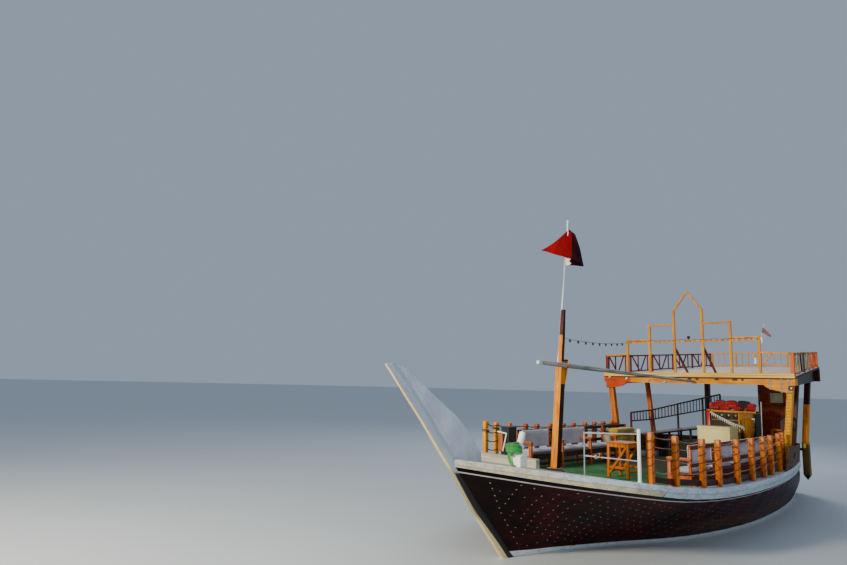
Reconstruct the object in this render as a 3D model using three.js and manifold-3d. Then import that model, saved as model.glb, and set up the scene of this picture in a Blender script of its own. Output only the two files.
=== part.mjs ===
// A wooden dhow with a roofed passenger deck, afloat.
// Millimetres. +X to the bow, +Y to port, +Z up, origin on the waterline at the centreline.
import * as THREE from 'three';
import ManifoldModule from 'manifold-3d';

const wasm = await ManifoldModule();
wasm.setup();
const { Manifold, Mesh: SolidMesh } = wasm;

// driving dimensions
const gap = 0.4;            // between pieces that touch on the real boat
const capOut = 55;          // gunwale outside the planking
const capIn = 170;          // gunwale inside the planking
const deckDrop = 130;       // main deck below the gunwale's top
const stemHalf = 80;        // half thickness of stem post and keel
const stemDepth = 150;      // stem post, front to back
const keelBottom = -1300;
const poopFront = -3400, poopZ = 1420;
const roofFrontX = -1700, roofAftX = -6980;
const roofFrontHalf = 2500, roofAftHalf = 1620;
const roofFrontZ = 3300, roofAftZ = 3700;   // top of the upper deck
const stringerRise = 220;   // the side beams rise less, and so grow deeper aft
const roofPlank = 55, roofBeam = 200;
const railHeight = 850;     // posts above the gunwale
const mastSide = 140, mastFootX = 4420, mastLean = 0.1, mastTop = 3420, sparTop = 4500;
const yardZ = 3365, yardRadius = 48, yardY = mastSide / 2 + 60;
const yardForeX = 5140, yardAftX = -1590, yardAftZ = 3125;
const poleTop = 6400;

// Hull sections from transom to stem. Each runs from its keel point up a curve to the sheer.
const sections = [
  { keelX: -6330, keelZ: -300, sheerX: -6650, sheerZ: 920, half: 980, bilgeY: 1260, bilgeZ: -180, cap: 150 },
  { keelX: -5400, keelZ: -480, sheerX: -5500, sheerZ: 1010, half: 1310, bilgeY: 1455, bilgeZ: -330,
    cap: 160 },
  { keelX: -4000, keelZ: -760, sheerX: -4000, sheerZ: 1095, half: 1710, bilgeY: 1705, bilgeZ: -420,
    cap: 175 },
  { keelX: -2000, keelZ: -930, sheerX: -2000, sheerZ: 1155, half: 2170, bilgeY: 1835, bilgeZ: -400,
    cap: 185 },
  { keelX: 0, keelZ: -1000, sheerX: 0, sheerZ: 1145, half: 2400, bilgeY: 1755, bilgeZ: -360, cap: 185 },
  { keelX: 2000, keelZ: -1000, sheerX: 2000, sheerZ: 1160, half: 2430, bilgeY: 1270, bilgeZ: -200, cap: 185 },
  { keelX: 3500, keelZ: -1010, sheerX: 3700, sheerZ: 1260, half: 2340, bilgeY: 300, bilgeZ: 50, cap: 185 },
  { keelX: 4400, keelZ: -1020, sheerX: 5000, sheerZ: 1425, half: 1950, bilgeY: 120, bilgeZ: 430, cap: 180 },
  { keelX: 5150, keelZ: -600, sheerX: 6000, sheerZ: 1560, half: 1160, bilgeY: 230, bilgeZ: 600, cap: 165 },
  { keelX: 5700, keelZ: -140, sheerX: 6750, sheerZ: 1670, half: 500, bilgeY: 250, bilgeZ: 900, cap: 145 },
  { keelX: 6000, keelZ: 150, sheerX: 7330, sheerZ: 1755, half: 60, bilgeY: 80, bilgeZ: 1050, cap: 125 },
];
const columns = Object.keys(sections[0]);

// The stem's front edge from its tip down to the keel, [x, z].
const stemFront = [
  [8790, 3235], [8440, 2840], [8000, 2350], [7640, 1920], [7270, 1490], [6760, 820],
  [6020, 0], [5450, -520], [4900, -900], [4300, -1170], [3700, -1300],
];
// The stemhead board's upper and aft edge, [x, z].
const boardEdge = [[8513, 3229], [8361, 3159], [8174, 3039], [7951, 2886], [7721, 2729], [7486, 2581],
  [7279, 2449],
  [7030, 2247], [6811, 2012], [6640, 1800]];

// small helpers
const lerp = (a, b, t) => a + (b - a) * t;
const spline = (a, b, c, d, t) =>
  0.5 * (2 * b + (c - a) * t + (2 * a - 5 * b + 4 * c - d) * t * t + (3 * b - a - 3 * c + d) * t ** 3);

function sectionAt(t) {
  const i = Math.min(Math.floor(t), sections.length - 2);
  const pick = (k, key) => sections[Math.max(0, Math.min(sections.length - 1, k))][key];
  const s = {};
  for (const key of columns)
    s[key] = spline(pick(i - 1, key), pick(i, key), pick(i + 1, key), pick(i + 2, key), t - i);
  return s;
}
const steps = 3;   // stations to each section
const stations = Array.from({ length: (sections.length - 1) * steps + 1 }, (_, i) => sectionAt(i / steps));

// The sheer's height and half breadth at any x, straight between stations.
function sheerAt(x, key) {
  for (let i = 1; i < stations.length; i++) {
    const a = stations[i - 1], b = stations[i];
    if (x <= b.sheerX || i === stations.length - 1)
      return lerp(a[key], b[key], (x - a.sheerX) / (b.sheerX - a.sheerX));
  }
}
const sheerZ = (x) => sheerAt(x, 'sheerZ');
const sheerY = (x) => sheerAt(x, 'half');
const deckZ = (x) => sheerZ(x) - deckDrop;

function geometryOf(positions, triangles) {
  const g = new THREE.BufferGeometry();
  g.setAttribute('position', new THREE.Float32BufferAttribute(positions.flat(), 3));
  g.setIndex(triangles.flat());
  return g;
}

// A closed skin over rings of points, each ring the same length.
function loft(rings) {
  const n = rings[0].length, points = rings.flat(), tris = [];
  for (let i = 0; i < rings.length - 1; i++)
    for (let j = 0; j < n; j++) {
      const a = i * n + j, b = i * n + ((j + 1) % n), c = a + n, d = b + n;
      tris.push([a, b, d], [a, d, c]);
    }
  const cap = (ring, first, flip) => {
    const o = new THREE.Vector3(...ring[0]);
    const normal = new THREE.Vector3();
    for (let j = 0; j < n; j++) {
      const p = new THREE.Vector3(...ring[j]).sub(o), q = new THREE.Vector3(...ring[(j + 1) % n]).sub(o);
      normal.add(p.cross(q));
    }
    normal.normalize();
    const u = new THREE.Vector3(0, 1, 0).addScaledVector(normal, -normal.y);
    if (u.lengthSq() < 0.01) u.set(1, 0, 0).addScaledVector(normal, -normal.x);
    u.normalize();
    const v = normal.clone().cross(u);
    const flat = ring.map((p) => {
      const d = new THREE.Vector3(...p).sub(o);
      return new THREE.Vector2(d.dot(u), d.dot(v));
    });
    for (const [a, b, c] of THREE.ShapeUtils.triangulateShape(flat, []))
      tris.push(flip ? [first + a, first + c, first + b] : [first + a, first + b, first + c]);
  };
  cap(rings[0], 0, true);
  cap(rings[rings.length - 1], (rings.length - 1) * n, false);
  return facingOut(geometryOf(points, tris));
}

function facingOut(g) {
  const p = g.attributes.position, idx = g.index.array;
  let volume = 0;
  const v = [0, 1, 2].map(() => new THREE.Vector3());
  for (let i = 0; i < idx.length; i += 3) {
    v.forEach((w, k) => w.fromBufferAttribute(p, idx[i + k]));
    volume += v[0].dot(v[1].clone().cross(v[2]));
  }
  if (volume < 0) for (let i = 0; i < idx.length; i += 3) [idx[i + 1], idx[i + 2]] = [idx[i + 2], idx[i + 1]];
  return g;
}

// Solids for joins and cuts.
function solid(geometry) {
  const g = geometry.index ? geometry.toNonIndexed() : geometry;
  const p = g.attributes.position;
  const keys = new Map(), points = [], tris = [];
  for (let i = 0; i < p.count; i++) {
    const key = [p.getX(i), p.getY(i), p.getZ(i)].map((c) => Math.round(c * 1000)).join();
    if (!keys.has(key)) {
      keys.set(key, points.length / 3);
      points.push(p.getX(i), p.getY(i), p.getZ(i));
    }
    tris.push(keys.get(key));
  }
  return new Manifold(new SolidMesh({
    numProp: 3,
    vertProperties: new Float32Array(points),
    triVerts: new Uint32Array(tris),
  }));
}
function shell(manifold) {
  const m = manifold.simplify(0.02).getMesh(), g = new THREE.BufferGeometry();
  const points = new Float32Array((m.vertProperties.length / m.numProp) * 3);
  for (let i = 0; i < points.length / 3; i++)
    for (let k = 0; k < 3; k++) points[i * 3 + k] = m.vertProperties[i * m.numProp + k];
  g.setAttribute('position', new THREE.BufferAttribute(points, 3));
  g.setIndex(Array.from(m.triVerts));
  return g;
}
const join = (...parts) => shell(Manifold.union(parts.map(solid)));
const cut = (body, ...tools) => shell(solid(body).subtract(Manifold.union(tools.map(solid))));

// The biggest of the bodies that a cut leaves.
const largest = (geometry) => shell(solid(geometry).decompose().sort((a, b) => b.volume() - a.volume())[0]);

function box(x0, x1, y0, y1, z0, z1) {
  const g = new THREE.BoxGeometry(x1 - x0, y1 - y0, z1 - z0);
  return g.translate((x0 + x1) / 2, (y0 + y1) / 2, (z0 + z1) / 2);
}
// A square or flat bar from p to q; its width lies level.
function bar(p, q, width, depth = width) {
  const a = new THREE.Vector3(...p), b = new THREE.Vector3(...q);
  const along = b.clone().sub(a), length = along.length();
  along.normalize();
  const side = new THREE.Vector3(0, 0, 1).cross(along);
  if (side.lengthSq() < 1e-6) side.set(0, 1, 0);
  side.normalize();
  const over = along.clone().cross(side);
  const g = new THREE.BoxGeometry(length, width, depth);
  const middle = a.add(b).multiplyScalar(0.5);
  return g.applyMatrix4(new THREE.Matrix4().makeBasis(along, side, over).setPosition(middle));
}
// A round rod from p to q, tapering where two radii are given.
function rod(p, q, radius, endRadius = radius, sides = 10) {
  const a = new THREE.Vector3(...p), b = new THREE.Vector3(...q);
  const along = b.clone().sub(a);
  const g = new THREE.CylinderGeometry(endRadius, radius, along.length(), sides);
  const turn = new THREE.Quaternion().setFromUnitVectors(new THREE.Vector3(0, 1, 0),
    along.clone().normalize());
  return g.applyQuaternion(turn).translate(...a.add(b).multiplyScalar(0.5).toArray());
}
// A flat outline in X and Z, given a thickness along Y.
function plate(outline, y0, y1, holes = []) {
  const shape = new THREE.Shape(outline.map(([x, z]) => new THREE.Vector2(x, z)));
  for (const h of holes) shape.holes.push(new THREE.Path(h.map(([x, z]) => new THREE.Vector2(x, z))));
  const g = new THREE.ExtrudeGeometry(shape, { depth: y1 - y0, bevelEnabled: false });
  return g.rotateX(Math.PI / 2).translate(0, y1, 0);
}
// A flat outline in Y and Z, given a thickness along X.
function frontPlate(outline, x0, x1, holes = []) {
  const shape = new THREE.Shape(outline.map(([y, z]) => new THREE.Vector2(y, z)));
  for (const h of holes) shape.holes.push(new THREE.Path(h.map(([y, z]) => new THREE.Vector2(y, z))));
  const g = new THREE.ExtrudeGeometry(shape, { depth: x1 - x0, bevelEnabled: false });
  return g.applyMatrix4(new THREE.Matrix4().set(0, 0, 1, x0, 1, 0, 0, 0, 0, 1, 0, 0, 0, 0, 0, 1));
}

// finishes
const finishes = {
  hull: ['#3a1714', 0.45], cap: ['#d9d5c6', 0.5], board: ['#a9b3bd', 0.5], deck: ['#3f7d4c', 0.9],
  varnish: ['#c76a1e', 0.4], pale: ['#e6b23c', 0.5], dark: ['#4a2a1c', 0.5], grey: ['#a6a39b', 0.6],
  white: ['#e8e6e0', 0.4], cushion: ['#7d8ba0', 0.9], cream: ['#e9dfb4', 0.4], red: ['#a01820', 0.9],
  bronze: ['#8a6a3a', 0.4], roofDeck: ['#ddd6c4', 0.7],
};
const material = Object.fromEntries(Object.entries(finishes).map(([key, [color, roughness]]) =>
  [key, new THREE.MeshStandardMaterial({ color, roughness, metalness: key === 'bronze' ? 0.8 : 0 })]));

const group = new THREE.Group();
function add(name, geometry, finish) {
  const mesh = new THREE.Mesh(geometry, material[finish]);
  mesh.name = name;
  group.add(mesh);
}

// stem, keel and stemhead board
function offsetLine(line, distance) {
  return line.map(([x, z], i) => {
    const [ax, az] = line[Math.max(0, i - 1)], [bx, bz] = line[Math.min(line.length - 1, i + 1)];
    const l = Math.hypot(bx - ax, bz - az);
    return [x + ((bz - az) / l) * distance, z - ((bx - ax) / l) * distance];
  });
}
const stemTipBack = [8650, 3252];
const stemBack = [stemTipBack, ...offsetLine(stemFront, stemDepth).slice(1)];
const stemBackRoom = [[stemTipBack[0] - gap, stemTipBack[1]],
  ...offsetLine(stemFront, stemDepth + gap).slice(1)];
const stemRoom = [...offsetLine(stemFront, -gap), [3600, -1400], [3650, -1130],
  ...stemBackRoom.slice().reverse()];
const stemSlot = plate(stemRoom, -stemHalf - gap, stemHalf + gap);

// hull
function hullRing(s) {
  const top = s.sheerZ - s.cap, count = 9, port = [];
  for (let j = 0; j < count; j++) {
    const t = j / (count - 1), u = 1 - t;
    const y = u * u * 40 + 2 * u * t * s.bilgeY + t * t * s.half;
    const z = u * u * s.keelZ + 2 * u * t * s.bilgeZ + t * t * top;
    const x = lerp(s.keelX, s.sheerX, (z - s.keelZ) / (top - s.keelZ));
    port.push([x, y, z]);
  }
  return [...port.slice().reverse(), ...port.map(([x, y, z]) => [x, -y, z])];
}

// keel with its deadwood, propeller opening, stern post and rudder irons
const keelTopAt = (x) => {
  for (let i = 1; i < stations.length; i++)
    if (x <= stations[i].keelX) {
      const a = stations[i - 1], b = stations[i];
      return lerp(a.keelZ, b.keelZ, (x - a.keelX) / (b.keelX - a.keelX));
    }
};
const scarfX = 3700;
const rake = 0.372;
const rakeX = (z) => sections[0].keelX - rake * (z - sections[0].keelZ);   // along the transom
const postDepth = 130, rudderGap = 45;
const rudderAxisX = (z) => rakeX(z) - postDepth - rudderGap;
const propeller = { x: -5780, z: -820, radius: 320 };
const ironHeights = [-900, 100];
const rudderTilt = Math.atan(rake);
const rudderAxis = (z) => [rudderAxisX(z), 0, z];
const keelOutline = [
  [scarfX, keelBottom], [scarfX, -950], [2000, -900], [-6050, -200],
  [rakeX(540) + 20, 540], [sections[0].sheerX - 2, 545], [sections[0].sheerX - 2,
    700], [rakeX(700) - postDepth, 700], [rakeX(keelBottom) - postDepth, keelBottom],
];
const roomFront = -5560;
const propellerRoom = [[rakeX(-1190), -1190], [roomFront, -1190], [roomFront, -300], [rakeX(-300), -300]];
const boss = { radius: 70, bore: 26.2, depth: 200 };
const ironPin = 12, ironBore = 12.7;
function irons() {
  return ironHeights.map((z) => {
    const c = new THREE.Vector3(...rudderAxis(z));
    const along = new THREE.Vector3(-Math.sin(rudderTilt), 0, Math.cos(rudderTilt));
    const half = along.clone().multiplyScalar(11);
    const ring = rod(c.clone().sub(half).toArray(), c.clone().add(half).toArray(), 42, 42, 16);
    const ahead = (d) => [c.x + d * Math.cos(rudderTilt), 0, c.z + d * Math.sin(rudderTilt)];
    const arm = bar(ahead(18), ahead(rudderGap + 30), 60, 20);
    return [ring, arm];
  }).flat();
}
const hullSolid = cut(loft(stations.map(hullRing)), stemSlot);
{
  const blank = join(plate(keelOutline, -stemHalf, stemHalf), ...irons());
  const room = plate(propellerRoom, -stemHalf - 5, stemHalf + 5);
  const tube = rod([roomFront + 1, 0, propeller.z], [-5000, 0, propeller.z], boss.radius + 50,
    boss.radius, 16);
  const bore = rod([roomFront - 2, 0, propeller.z], [roomFront + boss.depth, 0, propeller.z], boss.bore,
    boss.bore, 16);
  const low = rudderAxis(-1250), high = rudderAxis(650);
  const pinWay = rod(low, high, ironBore, ironBore, 16);
  const withTube = join(cut(blank, room), tube);
  // the hull is shifted a hair each way so that the keel stops short of the planking
  const planking = [[0, 0, -gap], [0, gap, 0], [0, -gap, 0], [-gap, 0,
    0]].map((d) => hullSolid.clone().translate(...d));
  add('keel', cut(withTube, ...planking, bore, pinWay, stemSlot), 'hull');
}
// the stem is sided down to a narrow front edge, and slimmer again up at its head
add('stem_post', loft(stemFront.map((front, i) => {
  const back = stemBack[i], half = lerp(52, stemHalf, Math.min(1, i / 4)), edge = half * 0.45;
  const mid = [lerp(front[0], back[0], 0.6), lerp(front[1], back[1], 0.6)];
  return [[front[0], -edge, front[1]], [front[0], edge, front[1]], [mid[0], half, mid[1]],
    [back[0], half, back[1]], [back[0], -half, back[1]], [mid[0], -half, mid[1]]];
})), 'cap');
add('hull', hullSolid, 'hull');

// gunwales, deck, foredeck, poop
// Slant of the sheer in plan, to keep the gunwale's width at the bow.
const slant = (i) => {
  const a = stations[Math.max(0, i - 1)], b = stations[Math.min(stations.length - 1, i + 1)];
  return Math.min(1.6, Math.hypot(1, (b.half - a.half) / (b.sheerX - a.sheerX)));
};
const capEdges = stations.map((s, i) => ({
  x: s.sheerX, z: s.sheerZ, cap: s.cap,
  outer: s.half + Math.min(capOut * slant(i), 15 + 0.12 * s.half),
  inner: Math.max(s.half - capIn * slant(i), 30),
}));
for (const [name, side] of [['gunwale_port', 1], ['gunwale_starboard', -1]]) {
  const rings = capEdges.map(({ x, z, cap, outer, inner }) => [
    [x, side * inner, z - cap + gap], [x, side * outer, z - cap + gap],
    [x, side * (outer + 8), z - 25], [x, side * (outer - 10), z], [x, side * inner, z],
  ]);
  add(name, cut(loft(rings), stemSlot), 'cap');
}
const edgeAt = (x) => {
  const i = Math.max(1, capEdges.findIndex((e) => e.x >= x));
  const a = capEdges[i - 1], b = capEdges[i], t = (x - a.x) / (b.x - a.x);
  return Object.fromEntries(Object.keys(a).map((k) => [k, lerp(a[k], b[k], t)]));
};
const foreIndex = 7 * steps;   // the station where the foredeck starts
const floorRing = (e, bottom, top, inset) => [
  [e.x, e.inner - inset, bottom], [e.x, e.inner - inset, top], [e.x, -e.inner + inset, top], [e.x,
    -e.inner + inset, bottom],
];
{
  const edges = capEdges.slice(0, foreIndex + 1);
  const rings = edges.map((e) => floorRing(e, e.z - e.cap + gap, e.z - deckDrop, gap));
  add('deck', loft(rings), 'deck');
  const start = capEdges[foreIndex];
  const bow = [edgeAt(start.x + gap), ...capEdges.slice(foreIndex + 1, -1), edgeAt(7230)];
  const bowRings = bow.map((e) => floorRing(e, e.z - e.cap + gap, e.z, gap));
  // a heavy plank lies across the foredeck's aft edge, mostly to starboard
  const x = start.x + gap + 5, plank = box(x, x + 110, -1590, 60, start.z - 60, 1600);
  add('foredeck', cut(join(loft(bowRings), plank), stemSlot), 'cap');
}
// the floor of the raised stern; a closed block down to the deck
const between = (a, b) => [a, ...stations.map((s) => s.sheerX).filter((x) => x > a + 1 && x < b - 1), b];
const boardThick = 38, sternX = -6560;
{
  const xs = between(sternX + boardThick + 20, poopFront);
  const rings = xs.map((x) => {
    const e = edgeAt(x);
    return floorRing({ x, inner: e.inner }, e.z - deckDrop + gap, poopZ, 5);
  });
  add('poop_deck', loft(rings), 'deck');
}

// quarter boards round the stern
let boards;
const boardFrontX = -1250;
const boardTop = (x) => lerp(1730, 1430, (x - boardFrontX) / (sternX - boardFrontX));
const boardFlare = (x) => lerp(110, 35, Math.min(1, (boardFrontX - x) / 3400));
const boardLine = (e) => e.outer - 12 - boardThick / 2;
{
  const xs = between(sternX, boardFrontX);
  const sideBoard = (side) => loft(xs.map((x) => {
    const e = edgeAt(x), mid = boardLine(e), flare = boardFlare(x);
    return [[x, side * (mid - boardThick / 2), e.z + gap], [x, side * (mid + boardThick / 2), e.z + gap],
      [x, side * (mid + boardThick / 2 + flare), boardTop(x)], [x, side * (mid - boardThick / 2 + flare),
        boardTop(x)]];
  }));
  const e = edgeAt(sternX), half = boardLine(e);
  const back = box(sternX, sternX + boardThick, -half, half, edgeAt(sternX + boardThick).z + gap,
    boardTop(sternX) - 2);
  const [hx, hz] = [-2180, 1440];
  const hole = rod([hx, -3000, hz], [hx, 3000, hz], 95, 95, 12).translate(-hx, 0, -hz).scale(1.9, 1,
    1).translate(hx, 0, hz);
  boards = join(sideBoard(1), sideBoard(-1), back);
  add('quarter_boards', cut(boards, hole), 'dark');
}

// stemhead board on the foredeck
const topOn = (surface, x0, x1) => Math.max(surface(x0), surface(x1)) + gap;
{
  const heel = [7285, sheerZ(7285) + gap];
  const base = stations.map((t) => t.sheerX).filter((x) => x > 6620 && x < 7285).map((x) => [x,
    sheerZ(x) + gap]);
  const outline = [...boardEdge, [6620, sheerZ(6620) + gap], ...base, heel,
    stemBackRoom[3], stemBackRoom[2], stemBackRoom[1], stemBackRoom[0]];
  add('stemhead_board', plate(outline, -45, 45), 'board');
}

// mooring bitt and locker at the bow
{
  const x = 6330, y = 620, z = topOn(sheerZ, x - 95, x + 95);
  add('mooring_bitt', join(box(x - 95, x + 95, y - 95, y + 95, z, z + 235),
    rod([x + 20, y - 20, z + 200], [x + 10, y + 20, z + 560], 48, 40, 12),
    bar([x + 15, y - 120, z + 330], [x + 15, y + 100, z + 330], 44, 44)), 'white');
}
add('bow_locker', box(4380, 4640, -1170, -970, topOn(deckZ, 4380, 4640), 2110), 'dark');

// mast, flagpole, flag and yard
const mastX = (z) => mastFootX - mastLean * (z - 1200);
const yardMastX = mastX(yardZ);
const yardBolt = 18, yardBore = 19;
const topmast = { foot: mastTop, half: 42, top: sparTop, topHalf: 32 };
{
  const foot = topOn(deckZ, mastFootX - 119, mastFootX + 119), h = mastSide / 2;
  const level = (z, half) => [[-1, -1], [1, -1], [1, 1], [-1, 1]].map(([i, j]) => [mastX(z) + i * half,
    j * half, z]);
  const cheek = [[-60, 2680], [-92, 2740], [-118, 3000], [-176, 3250], [-180, 3490],
    [-60, 3490]].map(([d, z]) => [mastX(z) + d, z]);
  add('mast', join(
    loft([level(foot, h), level(mastTop, h)]),
    loft([level(foot, h + 45), level(foot + 160, h + 45)]),
    loft([level(topmast.foot - 20, topmast.half), level(3950, topmast.half),
      level(topmast.top, topmast.topHalf)]),
    plate(cheek, -45, 45),
    box(mastX(mastTop) - 175, mastX(mastTop), -38, 38, 3425, 3485),
    rod([yardMastX, 20, yardZ], [yardMastX, yardY + yardRadius + 30, yardZ], yardBolt, yardBolt, 16),
    rod([yardMastX, yardY + yardRadius + 8, yardZ], [yardMastX, yardY + yardRadius + 26, yardZ], 34, 34, 16),
  ), 'varnish');
}
const poleRadius = 20, flagThick = 12, poleLean = 0.13;
const poleFoot = mastTop + gap + 2.6, poleY = -(topmast.half + poleRadius + gap);
const poleX = (z) => mastX(poleFoot) - poleLean * (z - poleFoot);
add('flagpole', join(rod([poleX(poleFoot), poleY, poleFoot], [poleX(poleTop), poleY, poleTop], poleRadius,
  14),
  rod([poleX(poleTop), poleY, poleTop], [poleX(poleTop + 40), poleY, poleTop + 40], 26, 20)), 'white');
{
  // [distance along the cloth, height]; the cloth hangs forward of the pole and folds back aft of it
  const outline = [[30, 6270], [294, 5931], [549, 5739], [150, 5640], [-30, 5588], [9, 5433],
    [-141, 5412], [-424, 5413], [-320, 5823], [-183, 6179], [-25, 6262]];
  const shape = new THREE.Shape(outline.map(([u, z]) => new THREE.Vector2(u, z)));
  const g = new THREE.ExtrudeGeometry(shape, { depth: flagThick, bevelEnabled: false });
  const along = new THREE.Vector3(0.727, -0.687, 0).normalize(), up = new THREE.Vector3(-poleLean, 0, 1);
  const face = new THREE.Vector3(along.y, -along.x, 0), off = 17.2 + flagThick;
  const m = new THREE.Matrix4().makeBasis(along, up, face);
  m.setPosition(poleX(0) - face.x * off, poleY - face.y * off, 0);
  add('flag', g.applyMatrix4(m), 'red');
}
{
  const slope = (3400 - yardZ) / (yardForeX - yardMastX);
  const at = (x) => [x, yardY, yardZ + slope * (x - yardMastX)];
  const spar = join(rod(at(yardForeX), at(yardMastX), yardRadius * 0.8, yardRadius, 12),
    rod(at(yardMastX), at(yardAftX), yardRadius, yardRadius * 0.62, 12));
  add('yard', cut(spar, rod([yardMastX, 0, yardZ], [yardMastX, 400, yardZ], yardBore, yardBore, 16)), 'grey');
}

// rails
const capMiddle = (x) => (edgeAt(x).inner + edgeAt(x).outer) / 2 - 10;
const railPost = 95;
function ropeRail(name, side, xs, toeBoard) {
  const h = railPost / 2, parts = [];
  xs.forEach((x, i) => {
    const y = side * capMiddle(x), z = topOn(sheerZ, x - h, x + h);
    parts.push(box(x - h, x + h, y - h, y + h, z, z + railHeight));
    if (i) for (const lift of [230, 430, 630, 790])
      parts.push(rod([xs[i - 1], side * capMiddle(xs[i - 1]), sheerZ(xs[i - 1]) + lift],
        [x, y, sheerZ(x) + lift], 13, 13, 6));
    if (i && toeBoard) parts.push(bar([xs[i - 1], side * capMiddle(xs[i - 1]) - 25,
      sheerZ(xs[i - 1]) + 72], [x, y - 25, sheerZ(x) + 72], 26, 100));
  });
  add(name, join(...parts), 'varnish');
}
ropeRail('rail_port', 1, [4590, 4005, 3190, 2550, 1700, 910, 190, -380, -1130, -1560], true);
ropeRail('rail_starboard', -1, [3890, 3450, 2915, 2260, 1795, 1220, 660, 210, -290, -700, -1090, -1450],
  false);
{
  // [x, pole's top, pole's radius], thick pole first
  const poles = [[4800, 2276, 30], [5610, 2225, 13]], parts = [];
  const y = (x) => capMiddle(x) - 5;
  for (const [x, top, r] of poles) {
    const z = topOn(sheerZ, x - 42, x + 42);
    parts.push(rod([x, y(x), z], [x, y(x), top], r, r, 12), rod([x, y(x), z], [x, y(x), z + 10], r + 10,
      r + 10, 12));
  }
  const [[x0], [x1]] = poles;
  for (const [z0, z1] of [[2190, 2205], [1745, 1835]])
    parts.push(rod([x0, y(x0), z0], [x1, y(x1), z1], 13, 13, 8));
  add('gate_rail', join(...parts), 'white');
}
// Balusters between two rails from p to q, evenly spaced.
function balusters(p, q, height, spacing, width) {
  const length = Math.hypot(q[0] - p[0], q[1] - p[1]), n = Math.round(length / spacing);
  return slats(p, q, height, width, Array.from({ length: n - 1 }, (_, i) => [(i + 1) / n, (i + 1) / n]));
}
// Bars between two rails, each from a share of the way along the bottom to one along the top.
function slats(p, q, height, width, places) {
  const at = (t, lift) => [0, 1, 2].map((k) => lerp(p[k], q[k], t) + (k === 2 ? lift : 0));
  return places.map(([low, high]) => bar(at(low, -8), at(high, height + 8), width));
}
for (const [name, side] of [['stern_rail_port', 1], ['stern_rail_starboard', -1]]) {
  const rise = (x) => 2215 + 78 * (-1.9 - x / 1000), lowDrop = 230;
  const topZ = (x) => rise(x) + (x < -3400 ? 30 + 82 * (-3.4 - x / 1000) : Math.max(0,
    (-3080 - x) / 320) * 30);
  const y = (x) => side * (capMiddle(x) - 75);
  const stops = [-2200, -3080, -4180, -5280, -6080], parts = [];
  stops.forEach((x, i) => {
    const z = topOn(sheerZ, x - 25, x + 25);
    parts.push(box(x - 25, x + 25, y(x) - 22, y(x) + 22, z, topZ(x)));
    if (!i) return;
    const p = [stops[i - 1], y(stops[i - 1])], q = [x, y(x)];
    const drop = (s) => lowDrop + 40 * (-s[0] / 1000 - 2);
    parts.push(bar([...p, topZ(p[0])], [...q, topZ(q[0])], 36, 40),
      bar([...p, topZ(p[0]) - drop(p)], [...q, topZ(q[0]) - drop(q)], 36, 36),
      ...balusters([...p, topZ(p[0]) - drop(p)], [...q, topZ(q[0]) - drop(q)], (drop(p) + drop(q)) / 2,
        135, 20));
  });
  add(name, join(...parts), 'dark');
}

// posts that carry the upper deck
const roofZ = (x) => lerp(roofFrontZ, roofAftZ, (x - roofFrontX) / (roofAftX - roofFrontX));
const roofHalf = (x) => lerp(roofFrontHalf, roofAftHalf, (x - roofFrontX) / (roofAftX - roofFrontX));
const frontBeamZ = 3095, sideBeamDrop = 200, stringerIn = 190;
const stringerZ = (x) => lerp(roofFrontZ, roofFrontZ + stringerRise,
  (x - roofFrontX) / (roofAftX - roofFrontX)) - roofPlank - sideBeamDrop;
const square = (x, y, z, half) => [[-1, -1], [1, -1], [1, 1],
  [-1, 1]].map(([i, j]) => [x + i * half, y + j * half, z]);
const posts = [
  // name, side's word, side, foot x, top x, half width, outward lean at the top
  ['front', 'port', 1, -2010, -1750, 65, 290],
  ['front', 'starboard', -1, -1730, -1750, 75, 210],
  ['middle', 'port', 1, -3760, -3760, 58, 215],
  ['middle', 'starboard', -1, -3300, -3300, 58, 215],
];
const frontPosts = [];
for (const [name, word, side, footX, topX, half, lean] of posts) {
    const footY = side * (Math.min(boardLine(edgeAt(footX - half)),
      boardLine(edgeAt(footX + half))) - boardThick / 2 - 8 - half);
    const topY = footY + side * lean;
    const foot = topOn(sheerZ, footX - half, footX + half);
    const top = (name === 'front' ? frontBeamZ : stringerZ(topX + half)) - gap;
    const post = (grow) => loft([square(footX, footY, foot - grow, half + grow),
      square(topX, topY, top + grow, half + grow)]);
    if (name === 'front') frontPosts.push(post(gap));
    add(`post_${name}_${word}`, post(0), name === 'front' ? 'varnish' : 'dark');
  }
for (const [word, side] of [['port', 1], ['starboard', -1]]) {
  const x = -6180, y = side > 0 ? 1345 : -1450, half = 88, e = edgeAt(x);
  const near = side * boardLine(e);
  const chock = (z) => box(x - 50, x + 50, Math.min(near, y), Math.max(near, y), z, z + 70);
  const top = [x - 60, side > 0 ? 1480 : -1450];
  const post = loft([square(x, y, 430, 4), square(x, y, 570, half), square(x, y, 1480, half),
    square(x, y, 1560, half * 0.82),
    square(...top, stringerZ(top[0] + half) - gap, half * 0.82)]);
  const room = boards.clone().translate(0, side * gap, 0);
  add(`post_stern_${word}`, largest(cut(join(post, chock(1250)), room)), 'dark');
}

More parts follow.
